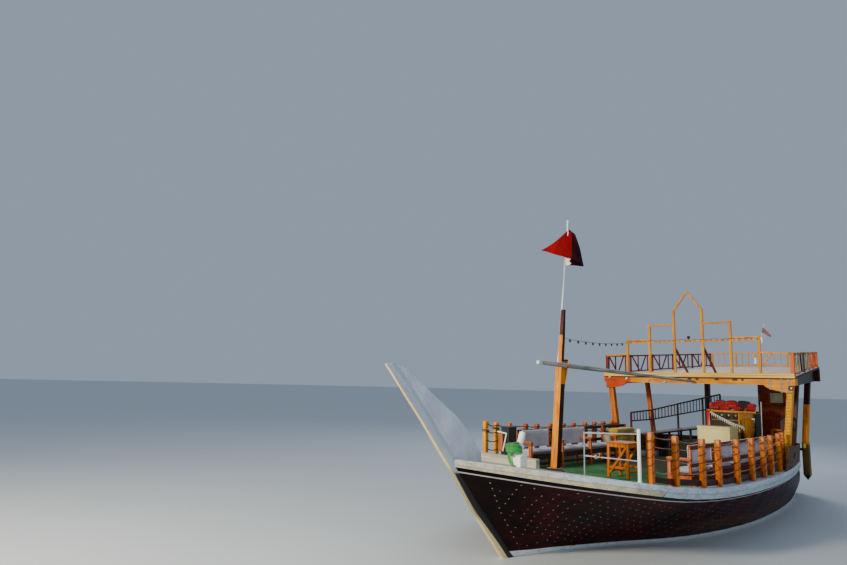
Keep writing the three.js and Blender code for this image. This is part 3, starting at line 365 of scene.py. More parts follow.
def hullFinish():
    made, p = newFinish("oiled_hull_planks")
    x, z = p.axes("xz")
    drop, cap = belowSheer(p)
    under = drop - cap
    blotch = p.noise(0.9, 4, 0.6)
    streak = p.stretched(0.12, 1, 1).noise(12, 5, 0.65)
    aft = 1 - x.between(-4.5, 2.0)
    fore = x.between(5.6, 6.6)
    colour = mixed((blotch * 0.6 + streak * 0.5).between(0.4, 0.72), (14, 2, 4), (66, 6, 8))
    colour = mixed(aft * 0.8, colour, mixed(streak, (22, 20, 24), (50, 48, 52)))
    colour = mixed(fore * 0.8, colour, mixed(streak, (8, 7, 8), (26, 16, 16)))
    # a brown, sun-bleached stretch low down amidships
    bleached = z.band(0.1, 0.42, 0.12) * x.band(-3.0, 2.4, 1.2) * streak.between(0.3, 0.7)
    colour = mixed(bleached * 0.8, colour, (100, 64, 38))
    # planks lie parallel to the sheer, their seams caulked
    row = (under / hullLook["plank"]).maths("FLOOR")
    butt = (x / hullLook["plankLength"] + row * 0.37).maths("PINGPONG", 0.5)
    seam = under.seams(hullLook["plank"], 0.05).maths("MAXIMUM", (1 - butt.between(0.0, 0.003)) * 0.7)
    colour = mixed(seam * 0.6, colour, (12, 7, 7))
    # pale plugs on each frame, one above the other, a few of them darkened
    ribs, rows = hullLook["ribs"], hullLook["rows"]
    u = x / ribs
    v = drop / rows + u.maths("FLOOR") * 0.31
    du, dv = (u.maths("FRACT") - 0.5) * ribs, (v.maths("FRACT") - 0.5) * rows
    cell = p.node("CombineXYZ", None, {0: u.maths("FLOOR"), 1: v.maths("FLOOR")})
    chance = p.node("TexWhiteNoise", {"noise_dimensions": "3D"}, {"Vector": cell}, "Value")
    dot = 1 - (du * du + dv * dv).maths("SQRT").between(*hullLook["plug"])
    # they stop short of one row that follows the stem
    behind = behindStem(p)
    stemDot = (dv ** 2 + (behind - hullLook["stemRow"]) ** 2).maths("SQRT")
    dot = (dot * behind.between(0.5, 0.52)).maths("MAXIMUM", 1 - stemDot.between(*hullLook["plug"]))
    dot = dot * chance.between(0.1, 0.5) * z.between(0.12, 0.2) * under.between(0.1, 0.13)
    colour = mixed(dot * (0.85 - aft * 0.45), colour, (196, 174, 170))
    # black under the gunwale, partly a black line and partly a painted shadow under its overhang, then a thin
    # pale line
    low, high = hullLook["line"]
    colour = mixed(1 - under.between(low - 0.006, low), colour, (10, 8, 9))
    colour = mixed(under.band(low, high, 0.002) * 0.9, colour, (214, 196, 196))
    colour, rough = bottomAndBoot(p, colour, 0.36 + streak * 0.22)
    height = streak * 0.25 - seam + dot * 0.3
    return finishUp(made, p, colour, rough, height, 0.5, 0.006, Specular_IOR_Level=0.09)


def gunwaleFinish():
    # blue-grey, with a paler top; the fore part's face is cream up to a slanting scarf
    scarfAt = 4.29
    made, p = newFinish("gunwale_paint")
    x = p.axis("x")
    flat = normalOf(p).axis("z").between(0.6, 0.8)
    drop = belowSheer(p)[0]
    streak = p.stretched(0.08, 1, 1).noise(9, 5, 0.65)
    fine = p.noise(14, 6, 0.75)
    scarf = x - drop * 1.2
    aftFace = mixed(streak, (158, 178, 190), (198, 212, 218))
    foreFace = mixed(streak, (176, 162, 128), (222, 210, 176))
    face = mixed(scarf.between(scarfAt - 0.01, scarfAt + 0.01), aftFace, foreFace)
    top = mixed(streak, (176, 194, 214), (214, 224, 232))
    top = mixed(x.between(5.7, 6.3), top, (206, 204, 186))
    upper = (1 - drop.between(0.09, 0.1)).maths("MAXIMUM", flat)
    colour = mixed(upper, face, top)
    seam = ((scarf - scarfAt).maths("ABSOLUTE") < 0.012) * (1 - upper)
    seam = seam.maths("MAXIMUM", drop.band(0.089, 0.101, 0.003) * 0.6 * (1 - flat))
    colour = mixed(seam * 0.75, colour, (96, 88, 78))
    crack = p.stretched(0.35, 1, 1).noise(5, 8, 0.8).band(0.485, 0.515, 0.01)
    rust = p.stretched(1, 1, 0.3).noise(16, 4, 0.7).between(0.62, 0.8)
    colour = mixed(crack * 0.5, colour, (118, 106, 88))
    colour = mixed(rust * 0.5, colour, (150, 124, 90))
    colour = mixed(fine.between(0.6, 0.68) * 0.5, colour, (132, 114, 90))
    return finishUp(made, p, colour, 0.42 + fine * 0.25, fine * 0.3 - crack * 0.6 - seam, 0.45, 0.008, 0.014)


def stemFinish():
    made, p = newFinish("stem_paint")
    z = p.axis("z")
    streak = p.stretched(0.3, 1, 0.3).noise(9, 5, 0.65)
    fine = p.noise(16, 6, 0.75)
    # cream on the fore edge, wider toward the water; its sides are black below the sheer and blue-white above
    width = 0.085 - z.between(0.1, 1.2) * 0.07
    side = normalOf(p).axis("y").maths("ABSOLUTE").between(0.6, 0.75) * (behindStem(p) > width)
    cream = mixed(streak, (206, 178, 120), (244, 224, 170))
    cream = mixed(z.band(0.75, 1.6, 0.1) * 0.6, cream, (120, 106, 84))
    black = mixed(streak, (8, 7, 8), (26, 16, 16))
    blueWhite = mixed(streak, (160, 176, 194), (200, 210, 220))
    colour = mixed(side, cream, mixed(z.between(1.5, 1.56), black, blueWhite))
    colour = mixed(fine.between(0.58, 0.68) * 0.5 * z.between(1.4, 1.7), colour, (128, 110, 88))
    below = 1 - z.between(-0.01, 0.01)
    colour = mixed(below, colour, weedy(p.noise(3.0, 6, 0.7)))
    return finishUp(made, p, colour, 0.42 + fine * 0.2 + below * 0.2, fine, 0.4, 0.006, 0.012)


def stemBoardFinish():
    # boards that run up along the stem's slant
    made, p = newFinish("stemhead_paint")
    x, z = p.axes("xz")
    seam = (x * 0.75 - z * 0.66).seams(0.3, 0.02)
    streak = p.stretched(0.4, 1, 0.3).noise(5, 5, 0.65)
    fine = p.noise(18, 6, 0.75)
    colour = mixed(streak.between(0.3, 0.7), (190, 196, 212), (222, 226, 236))
    colour = mixed(seam * 0.3, colour, (122, 126, 136))
    colour = mixed(fine.between(0.6, 0.68) * 0.7, colour, (228, 228, 224))
    colour = mixed(p.noise(7, 5, 0.7).between(0.63, 0.72) * 0.5, colour, (126, 106, 84))
    return finishUp(made, p, colour, 0.42 + fine * 0.2, fine * 0.4 - seam * 0.5, 0.45, 0.006, 0.01)


def carpetFinish(name, light, dark):
    made, p = newFinish(name)
    x, y = p.axes("xy")
    blades = p.noise(240, 3, 0.8)
    broad = p.noise(1.6, 4, 0.6)
    colour = mixed((blades * 0.6 + broad * 0.5).between(0.35, 0.75), dark, light)
    colour = mixed(p.noise(2.8, 5, 0.65).between(0.56, 0.75) * 0.5, colour, (88, 84, 60))
    # aft and along the port side it turns dark brown: painted shade, and wear where it is trodden
    worn = (1 - x.between(-0.4, 1.0)).maths("MAXIMUM", y.between(1.1, 1.7) * (1 - x.between(1.4, 2.2)))
    colour = mixed(worn * (0.75 + broad * 0.25), colour, mixed(blades, (34, 26, 18), (70, 58, 40)))
    return finishUp(made, p, colour, 0.9, blades, 0.8, 0.01)


def bottomFinish():
    made, p = newFinish("bottom_paint")
    growth = p.noise(3.0, 6, 0.7)
    fine = p.noise(30, 5, 0.7)
    colour = mixed(fine.between(0.6, 0.75) * 0.5, weedy(growth), (120, 126, 108))
    colour = mixed(p.axis("z").between(-0.01, 0.01), colour, mixed(fine, (40, 20, 20), (70, 26, 24)))
    return finishUp(made, p, colour, 0.65 + fine * 0.2, fine + growth, 0.5, 0.01, 0.01)


hullPlanks, bottomPaint, gunwalePaint = hullFinish(), bottomFinish(), gunwaleFinish()
stemPaint, stemBoardPaint = stemFinish(), stemBoardFinish()
greenCarpet = carpetFinish("green_carpet", (66, 150, 66), (20, 74, 40))
darkCarpet = carpetFinish("stern_carpet", (74, 92, 66), (30, 44, 36))


# timbers that change their tint along them
def zoned(name, axis, stops, grainAxis="z", gloss=0.36, shadePortFaces=False):
    # each stop is a place along the axis, and the light and the dark tint from there on
    made, p = newFinish(name)
    place = p.axis(axis)
    streaks, blotch, tone = grained(p, grainAxis, 26)
    colour = mixed(tone, stops[0][2], stops[0][1])
    for start, light, dark in stops[1:]:
        colour = mixed(place.between(start - 0.012, start + 0.012), colour, mixed(tone, dark, light))
    if shadePortFaces:
        # faces toward port take a near-black tint: painted shade on the side away from the light, kept off a
        # band from 3.0 to 3.45 m
        shaded = normalOf(p).axis("y").between(0.6, 0.75) * (1 - p.axis("z").band(3.0, 3.45, 0.01))
        colour = mixed(shaded, colour, mixed(tone, (14, 9, 8), (44, 24, 14)))
    rough = gloss + blotch * 0.2
    return finishUp(made, p, colour, rough, streaks, 0.35, 0.004, 0.006, Specular_IOR_Level=0.25)


farAft = -8
mastWood = zoned("mast_teak", "z", (
    (0, (240, 152, 0), (182, 92, 0)), (3.98, (92, 44, 20), (36, 18, 14))), shadePortFaces=True)
starboardPostWood = zoned("starboard_post_teak", "x", (
    (farAft, (214, 104, 18), (140, 50, 10)), (2.6, (232, 128, 16), (176, 74, 8)),
    (3.2, (246, 172, 0), (198, 112, 0))))
gableWood = zoned("gable_teak", "x", (
    (farAft, (126, 66, 24), (74, 34, 12)), (-1.74, (246, 170, 0), (198, 108, 0))))
# stern post: black foot, olive-brown, golden; the near-black stretch from 2.58 m up is painted shadow of the
# roof
sternPostWood = zoned("stern_post_teak", "z", (
    (0, (34, 28, 26), (16, 14, 14)), (0.57, (128, 96, 38), (72, 54, 24)),
    (1.44, (246, 156, 20), (196, 100, 8)), (2.58, (74, 34, 20), (30, 16, 12))))
upperPort = zoned("upper_port_teak", "x", (
    (farAft, (236, 112, 16), (170, 62, 8)), (-5.0, (196, 176, 136), (60, 30, 18)),
    (-4.1, (74, 44, 28), (26, 16, 14)), (-3.1, (190, 168, 124), (70, 36, 20)),
    (-2.2, (60, 34, 24), (24, 16, 14)), (-1.85, (246, 132, 14), (206, 84, 6))))
yardPaint = zoned("grey_yard_paint", "x", (
    (farAft, (186, 184, 178), (128, 124, 118)), (5.04, (238, 238, 234), (196, 196, 190))), "x", 0.6)


def frameWood():
    # the front beam is golden, redder at its starboard end; the beams aft of it are dark
    made, p = newFinish("roof_frame_teak")
    x, y = p.axes("xy")
    streaks, _, tone = grained(p, "y", 26)
    colour = mixed(tone, (198, 106, 0), (246, 170, 0))
    colour = mixed(1 - y.between(-1.75, -1.6), colour, mixed(tone, (150, 46, 8), (220, 84, 14)))
    colour = mixed(1 - x.between(-1.9, -1.86), colour, mixed(tone, (22, 16, 15), (64, 40, 28)))
    return finishUp(made, p, colour, 0.45, streaks, 0.35, 0.004, 0.006, Specular_IOR_Level=0.2)


def roofBoards():
    # pale deck boards, a fascia of two pale yellow boards with a strip of painted shadow along its foot,
    # near-black side edges
    made, p = newFinish("roof_boards")
    x, y, z = p.axes("xyz")
    normal = normalOf(p)
    fine = p.noise(11, 5, 0.7)
    streak = along(p, "x").noise(14, 4, 0.6)
    colour = mixed(streak.between(0.3, 0.7), (206, 176, 146), (238, 214, 190))
    seam = y.seams(0.16, 0.04)
    colour = mixed(seam * 0.5, colour, (120, 96, 74))
    across = along(p, "y").noise(20, 4, 0.6)
    face = mixed(across.between(0.35, 0.7), (240, 184, 62), (255, 226, 120))
    face = mixed((z - 3.318).maths("ABSOLUTE") < 0.004, face, (150, 96, 30))
    face = mixed(z.between(3.352, 3.36), face, (240, 172, 20))
    # the fascia's lowest strip is dark: painted shadow where it meets the beam
    face = mixed(1 - z.between(3.262, 3.27), face, (60, 26, 10))
    fore, flat = x.between(-1.712, -1.704), normal.axis("z").between(0.5, 0.8)
    colour = mixed(fore * (1 - flat), colour, face)
    colour = mixed(fore * flat, colour, (236, 176, 60))
    colour = mixed(normal.axis("y").maths("ABSOLUTE").between(0.6, 0.75), colour, (26, 18, 16))
    return finishUp(made, p, colour, 0.55 + fine * 0.2, fine * 0.4 - seam, 0.35, 0.006, 0.006)


frameFinish, roofFinish = frameWood(), roofBoards()


# cloth and rope finishes
def clothFinish(name, light, dark, weave=260, gloss=0.85):
    # a fine weave, a little soiled
    made, p = newFinish(name)
    x, y, z = p.axes("xyz")
    warp = ((x + y * 0.35) * weave).maths("SINE") * ((z + y * 0.8) * weave).maths("SINE")
    broad = p.noise(2.4, 4, 0.6)
    soil = p.noise(6, 5, 0.7)
    colour = mixed((broad * 0.8 + soil * 0.3).between(0.38, 0.72), dark, light)
    colour = mixed((warp * 0.5 + 0.5) * 0.25, colour, tuple(c * 0.72 for c in dark))
    return finishUp(made, p, colour, gloss, warp * 0.25 + soil * 0.6, 0.35, 0.004, Sheen_Weight=0.3)


wovenCane = clothFinish("woven_cane", (214, 120, 30), (140, 66, 16), 90, 0.7)
pennantCloth = clothFinish("faded_pennant", (150, 96, 88), (96, 52, 56), 300, 0.8)
cushionCloth = clothFinish("grey_cushion_cover", (204, 198, 208), (172, 166, 180))
mustardCloth = clothFinish("mustard_rug", (214, 178, 24), (140, 108, 16), 120, 0.9)
beigeCloth = clothFinish("beige_cloth", (182, 172, 140), (120, 112, 88), 200, 0.85)
redCloth = clothFinish("red_nylon", (214, 10, 22), (150, 4, 12), 300, 0.6)
blackCloth = clothFinish("black_nylon", (44, 40, 44), (20, 18, 22), 300, 0.6)
whiteRope = clothFinish("white_rope", (232, 228, 216), (178, 170, 152), 340, 0.8)
garlandCloth = clothFinish("white_paper", (255, 255, 252), (226, 226, 220), 200, 0.7)
paleRope = clothFinish("pale_rail_rope", (196, 160, 140), (134, 100, 84), 340, 0.85)
greyRope = clothFinish("grey_rope", (176, 160, 138), (112, 98, 82), 340, 0.85)
goldRope = clothFinish("gold_rope", (226, 170, 70), (160, 110, 36), 340, 0.8)
darkRope = clothFinish("dark_rope", (92, 56, 34), (46, 28, 20), 340, 0.85)
greenRope = clothFinish("green_rope", (8, 176, 58), (2, 96, 30), 340, 0.55)

# the nodes that show keep their shape and get a finish; pieces further down stand for the others
dress = {
    "hull": hullPlanks, "keel": bottomPaint, "stem_post": stemPaint, "stemhead_board": stemBoardPaint,
    "gunwale_port": gunwalePaint, "gunwale_starboard": gunwalePaint, "deck": greenCarpet,
    "foredeck": foredeckPaint, "poop_deck": darkCarpet, "quarter_boards": oldBoard, "mast": mastWood,
    "flagpole": poleWhite, "yard": yardPaint, "stern_rail_port": darkTeak,
    "stern_rail_starboard": darkTeak, "roof_frame": frameFinish, "roof_deck": roofFinish,
    "upper_rail_port": upperPort, "upper_rail_starboard": redTeak, "upper_rail_stern": golden,
    "gable_front": gableWood, "booth_front": boothWood, "booth_back": boothWood,
    "booth_outer_side": darkTeak, "booth_inner_side": boothWood, "booth_door": boothWood,
    "console": consoleOlive, "chest": creamPaint, "chest_lid": creamPaint, "stern_table": varnish,
    "rudder": bottomPaint, "bench_stern": darkFore,
}
for name, finish in dress.items():
    nodes[name].data.materials.clear()
    nodes[name].data.materials.append(finish)
print("finishes on", len(dress), "nodes")


# modelling helpers
def deselect():
    if bpy.context.mode != "OBJECT":
        bpy.ops.object.mode_set(mode="OBJECT")
    bpy.ops.object.select_all(action="DESELECT")


def only(piece):
    deselect()
    piece.select_set(True)
    bpy.context.view_layer.objects.active = piece


def settle(piece):
    only(piece)
    bpy.ops.object.transform_apply(location=True, rotation=True, scale=True)
    return piece


def modified(piece, kind, **settings):
    only(piece)
    modifier = piece.modifiers.new("step", kind)
    for key, value in settings.items():
        setattr(modifier, key, value)
    bpy.ops.object.modifier_apply(modifier=modifier.name)
    return piece


def outward(piece):
    only(piece)
    bpy.ops.object.mode_set(mode="EDIT")
    bpy.ops.mesh.select_all(action="SELECT")
    bpy.ops.mesh.remove_doubles(threshold=0.00005)
    bpy.ops.mesh.normals_make_consistent(inside=False)
    bpy.ops.object.mode_set(mode="OBJECT")
    return piece


def smooth(piece, angle=35):
    only(piece)
    bpy.ops.object.shade_smooth_by_angle(angle=math.radians(angle))
    return piece


def block(low, high, bevel=0.008, segments=2):
    # a squared timber between two corners, its arrises eased
    deselect()
    size = [b - a for a, b in zip(low, high)]
    bpy.ops.mesh.primitive_cube_add(size=1, location=[(a + b) / 2 for a, b in zip(low, high)])
    piece = bpy.context.object
    piece.scale = size
    settle(piece)
    if bevel:
        modified(piece, "BEVEL", width=min(bevel, min(size) * 0.4), segments=segments)
    return piece


def column(sides, radius, foot, steps, turn=0.0):
    # drawn up from a foot of so many sides: each step is a rise and a widening
    deselect()
    bpy.ops.mesh.primitive_circle_add(
        vertices=sides, radius=radius, fill_type="NGON", location=foot, rotation=(0, 0, turn))
    piece = bpy.context.object
    bpy.ops.object.mode_set(mode="EDIT")
    bpy.ops.mesh.select_mode(type="FACE")
    bpy.ops.mesh.select_all(action="SELECT")
    height = foot[2]
    for rise, widen in steps:
        bpy.ops.mesh.extrude_region_move(TRANSFORM_OT_translate={"value": (0, 0, rise)})
        height += rise
        if widen != 1:
            bpy.ops.transform.resize(value=(widen, widen, 1), center_override=(foot[0], foot[1], height))
    bpy.ops.object.mode_set(mode="OBJECT")
    settle(piece)
    return outward(piece)


def bar(start, end, radius, sides=10):
    # a round bar between two points, its ends eased
    deselect()
    start, end = Vector(start), Vector(end)
    length, middle = (end - start).length, (start + end) / 2
    bpy.ops.mesh.primitive_cylinder_add(vertices=sides, radius=radius, depth=length, location=middle)
    piece = bpy.context.object
    piece.rotation_euler = (end - start).to_track_quat("Z", "Y").to_euler()
    settle(piece)
    if sides > 8:
        modified(piece, "BEVEL", width=radius * 0.3, segments=2, limit_method="ANGLE", angle_limit=1.0)
    return smooth(piece)


def line(points, radius, sides=2, closed=False, smoothly=True):
    # a rope, wire or moulding that follows the points
    deselect()
    data = bpy.data.curves.new("line", "CURVE")
    data.dimensions, data.use_fill_caps = "3D", not closed
    data.bevel_depth, data.bevel_resolution = radius, sides
    spline = data.splines.new("NURBS" if smoothly else "POLY")
    spline.points.add(len(points) - 1)
    for target, point in zip(spline.points, points):
        target.co = (*point, 1)
    spline.use_cyclic_u = closed
    if smoothly:
        spline.order_u, spline.use_endpoint_u, data.resolution_u = 3, not closed, 3
    piece = bpy.data.objects.new("line", data)
    bpy.context.scene.collection.objects.link(piece)
    only(piece)
    bpy.ops.object.convert(target="MESH")
    return smooth(bpy.context.object, 60)


def copied(piece, matrix):
    # a repeat with its own mesh
    other = piece.copy()
    other.data = piece.data.copy()
    other.data.transform(matrix)
    if matrix.determinant() < 0:
        other.data.flip_normals()
    bpy.context.scene.collection.objects.link(other)
    return other


def joined(pieces):
    deselect()
    for item in pieces:
        item.select_set(True)
    bpy.context.view_layer.objects.active = pieces[0]
    if len(pieces) > 1:
        bpy.ops.object.join()
    return bpy.context.view_layer.objects.active


def placed(pieces, name, finish, body="boat", replaces=()):
    # one named piece on its body
    piece = joined(pieces if isinstance(pieces, list) else [pieces])
    settle(piece)
    piece.name = piece.data.name = name
    piece.data.materials.clear()
    piece.data.materials.append(finish)
    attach(piece, body)
    if replaces:
        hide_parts(*replaces)
    return piece


def eased(a, b, t):
    return a + (b - a) * t


def topOf(name, x, y, far=6.0):
    # how high a node's upper side lies at a place, or None beside it
    hit, place = nodes[name].ray_cast(Vector((x, y, far)), Vector((0, 0, -1)))[:2]
    return place.z if hit else None


def boxNear(name, x, reach):
    # the box that a post fills in its node
    near = [v.co for v in nodes[name].data.vertices if abs(v.co.x - x) < reach]
    return [min(c[i] for c in near) for i in range(3)], [max(c[i] for c in near) for i in range(3)]


# rope rails
railPost = {"half": 0.0475, "tall": 0.85, "head": 0.13, "neck": 0.014, "ropeLifts": (0.23, 0.43, 0.63, 0.79),
            "sag": (0.012, 0.045), "uneven": 0.01, "toeBoard": (0.013, 0.05, 0.072),
            "port": (4.59, 4.005, 3.19, 2.55, 1.7, 0.91, 0.19, -0.38, -1.13, -1.56),
            "starboard": (3.89, 3.45, 2.915, 2.26, 1.795, 1.22, 0.66, 0.21, -0.29, -0.7, -1.09, -1.45)}


def railPostPiece():
    # a squared post with a neck under its head
    half, head, neck = railPost["half"], railPost["head"], railPost["neck"]
    shaft = railPost["tall"] - head - 0.045
    steps = [(shaft, 1), (neck, 0.76), (neck, 1), (neck, 1.31)]
    steps += [(head - 0.009, 1), (0.008, 0.92), (0.004, 0.8)]
    piece = column(4, half * math.sqrt(2), (0, 0, 0), steps, math.radians(45))
    modified(piece, "BEVEL", width=0.004, segments=2, limit_method="ANGLE", angle_limit=0.7)
    return smooth(piece, 30)


def wrapAround(low, turns, pitch, radius):
    # rope wound about a rail post, a little uneven
    out = (railPost["half"] + radius * 0.7) * math.sqrt(2)
    points = []
    for i in range(int(turns * 4) + 1):
        angle = math.radians(45 + 90 * i)
        rise = low + pitch * i / 4 + rng.uniform(-0.1, 0.1) * pitch
        points.append((out * math.cos(angle), out * math.sin(angle), rise))
    return line(points, radius, 1, smoothly=False)


def ropeAlong(feet, side, lift, thick):
    # one rope of the rail, made fast to each post and slack between them
    points = []
    for i, (x, y, z) in enumerate(feet):
        edge = y - side * (railPost["half"] + 0.006)
        for beside in (0.02, -0.02):
            points.append((x + beside, edge, z + lift + rng.uniform(-railPost["uneven"], railPost["uneven"])))
        if i < len(feet) - 1:
            nextX, nextY, nextZ = feet[i + 1]
            sag = rng.uniform(*railPost["sag"])
            for t in (0.3, 0.5, 0.7):
                drop = sag * 4 * t * (1 - t)
                hanging = eased(z, nextZ, t) + lift - drop
                points.append((eased(x, nextX, t), eased(y, nextY, t) - side * 0.03, hanging))
    return line(points, thick, 1)


def toeBoards(feet):
    half, tall, middle = railPost["toeBoard"]
    boards = []
    for (x, y, z), (nextX, nextY, nextZ) in zip(feet, feet[1:]):
        board = block((0, -half, -tall), (1, half, tall), 0.006)
        for vertex in board.data.vertices:
            t, across, rise = vertex.co
            vertex.co = (x - 0.05 + (nextX - x + 0.1) * t, across + y - 0.025 + (nextY - y) * t,
                         rise + z + middle + (nextZ - z) * t)
        board.data.flip_normals()
        boards.append(board)
    return boards


def rail(side, word):
    name = "rail_" + word
    plain = railPostPiece()
    posts, wraps, feet = [], [], []
    for x in railPost[word]:
        low, high = boxNear(name, x, 0.052)
        foot = (x, (low[1] + high[1]) / 2, high[2] - railPost["tall"])
        feet.append(foot)
        turn = Matrix.Rotation(rng.uniform(-0.03, 0.03), 4, "Z")
        posts.append(copied(plain, Matrix.Translation(foot) @ turn))
        if side > 0:
            turns, pitch = rng.choice((3, 4, 4)), rng.uniform(0.13, 0.18)
            wrap = wrapAround(rng.uniform(0.12, 0.2), turns, pitch, 0.008)
        else:
            wrap = wrapAround(0.6 + rng.uniform(0, 0.08), 2, 0.03, 0.011)
        wrap.data.transform(Matrix.Translation(foot))
        wraps.append(wrap)
    ropes = [ropeAlong(feet, side, lift, 0.0065 if side > 0 else 0.012) for lift in railPost["ropeLifts"]]
    bpy.data.objects.remove(plain)
    postFinish = varnish if side > 0 else starboardPostWood
    placed(posts, "rail_posts_" + word, postFinish, replaces=(name,))
    placed(wraps, "rail_wraps_" + word, darkRope)
    placed(ropes, "rail_ropes_" + word, paleRope if side > 0 else darkRope)
    if side > 0:
        placed(toeBoards(feet), "toe_board_port", darkFore)


rail(1, "port")
rail(-1, "starboard")
print("rope rails built")


# cushions, filled and relaxed by a short cloth run
def stuffed(low, high, step, pressure, cap, frames=16):
    # a sewn pad: pressed outward from a slightly small block, its movement held within a cap
    piece = block(low, high, 0.02, 3)
    modified(piece, "REMESH", mode="VOXEL", voxel_size=step)
    start = [v.co.copy() for v in piece.data.vertices]
    only(piece)
    cloth = piece.modifiers.new("fill", "CLOTH")
    cloth.settings.use_pressure = True
    cloth.settings.uniform_pressure_force = pressure
    cloth.settings.effector_weights.gravity = 0
    cloth.settings.tension_stiffness = cloth.settings.compression_stiffness = 12
    cloth.settings.bending_stiffness = 0.4
    cloth.settings.quality = 4
    cloth.point_cache.frame_end = frames
    for frameNumber in range(1, frames + 1):
        bpy.context.scene.frame_set(frameNumber)
    bpy.ops.object.modifier_apply(modifier="fill")
    bpy.context.scene.frame_set(1)
    for vertex, place in zip(piece.data.vertices, start):
        move = vertex.co - place
        if move.length > cap:
            vertex.co = place + move * (cap / move.length)
    only(piece)
    modified(piece, "SMOOTH", factor=0.5, iterations=2)
    return smooth(piece, 60)


pads = {"seat": ((-0.505, -0.15, -0.03), (0.505, 0.15, 0.03)),
        "back": ((-0.505, -0.028, -0.215), (0.505, 0.028, 0.215)),
        "seatsAt": (1.83, 1.443), "backsAt": (1.955, 1.715), "filledLength": 1.06,
        "port": {"side": 1, "seats": ((-1.17, -0.15), (-0.14, 0.88), (0.89, 1.93), (1.94, 2.97)),
                 "backs": ((-1.17, -0.15), (-0.14, 0.88), (0.89, 1.93), (1.94, 2.97))},
        "starboard": {"side": -1, "seats": ((-0.79, 0.52), (0.59, 1.75), (1.83, 2.97)),
                      "backs": ((0.25, 1.74), (1.86, 2.97))}}


def padRow(row, kind, shape):
    # copies of one pad along a bench, each squeezed to its place
    y, z = pads[kind + "At"]
    laid = []
    for start, end in row[kind]:
        squeeze = Matrix.Diagonal(((end - start) / pads["filledLength"], 1, 1, 1))
        turn = Matrix.Rotation(rng.choice((0, math.pi)), 4, "Z" if kind == "seats" else "Y")
        place = Matrix.Translation(((start + end) / 2, row["side"] * y, z))
        laid.append(copied(shape, place @ squeeze @ turn))
    return laid


seatShape = stuffed(*pads["seat"], 0.02, 3.5, 0.02)
backShape = stuffed(*pads["back"], 0.02, 3.0, 0.018)
for word in ("port", "starboard"):
    for part, shape in (("seat", seatShape), ("back", backShape)):
        row, replaced = padRow(pads[word], part + "s", shape), (f"{part}_pad_{word}",)
        cushions = placed(row, f"{part}_cushions_{word}", cushionCloth, replaces=replaced)
for plain in (seatShape, backShape):
    bpy.data.objects.remove(plain)
print("cushions filled")


# folded rugs and a bundle at the starboard bench's after end
rugs = {"x": -1.378, "y": -1.83, "z": 1.402, "half": (0.5, 0.15), "thick": 0.1, "layers": 4}
folds = []
for i in range(rugs["layers"]):
    half = (rugs["half"][0] - rng.uniform(0, 0.03), rugs["half"][1] - rng.uniform(0, 0.012))
    layer = stuffed((-half[0], -half[1], 0.006), (half[0], half[1], rugs["thick"]), 0.02, 4, 0.014, 8)
    layer.data.transform(Matrix.Translation((rugs["x"], rugs["y"], rugs["z"] + i * (rugs["thick"] + 0.008))))
    folds.append(layer)
placed(folds, "folded_rugs", mustardCloth, replaces=("rug_stack",))
bundle = stuffed((-0.74, -1.93, 1.49), (-0.54, -1.73, 1.68), 0.02, 5, 0.02, 8)
placed(bundle, "beige_bundle", beigeCloth)
print("rugs folded")


# flag and its halyard
flagShape = {"lean": 0.13, "side": -0.0624, "across": (0.727, -0.687, 0), "toView": (0.687, 0.727, 0),
             "fold": 0.42, "foldLine": ((-0.03, 6.255), (-0.183, 6.15), (-0.32, 5.823), (-0.424, 5.425)),
             "hoist": (6.285, 5.435), "fly": ((0.549, 5.745), (-0.03, 5.588)), "smallest": -0.06,
             "teeth": 9, "toothDepth": 0.11, "strip": 0.068, "shadeFrom": (3.86, 5.9),
             "shadeAcross": (-0.7266, 0.6871)}
poleFoot = [v.co for v in nodes["flagpole"].data.vertices if v.co.z < 3.45]
poleX = sum(c.x for c in poleFoot) / len(poleFoot)
poleZ = sum(c.z for c in poleFoot) / len(poleFoot)


def atPole(z, u, w):
    # a point off the flagpole: u across the view, w toward it
    a, b = Vector(flagShape["across"]), Vector(flagShape["toView"])
    return Vector((poleX - flagShape["lean"] * (z - poleZ), flagShape["side"], z)) + a * u + b * w


def flagPoint(s, t):
    # s runs down the hoist, t out along the fly; the fly folds back across the hoist side
    fold, foldLine = flagShape["fold"], flagShape["foldLine"]
    place = s * 3
    i = min(int(place), 2)
    foldU, foldZ = [eased(a, b, place - i) for a, b in zip(foldLine[i], foldLine[i + 1])]
    if t < fold:
        k = t / fold
        u, z = eased(0.0, foldU, k), eased(eased(*flagShape["hoist"], s), foldZ, k)
        w = 0.02 + 0.05 * math.sin(k * math.pi) * s + 0.018 * math.sin(7 * s + 5 * k)
        w -= 0.05 * math.sin(k * math.pi * 0.5) * s
    else:
        k = (t - fold) / (1 - fold)
        flyU, flyZ = [eased(a, b, s ** 1.3) for a, b in zip(*flagShape["fly"])]
        u = eased(foldU, flyU, k)
        z = eased(foldZ, flyZ, k) - 0.05 * math.sin(k * math.pi) * (1 - s)
        w = -0.03 * s + 0.16 * math.sin(min(1.0, k * 2.2) * math.pi * 0.5) * (0.35 + 0.65 * s)
        w += 0.022 * math.sin(9 * s + 4.5 * k + 1) * k
    return atPole(z, u, max(w, flagShape["smallest"]))


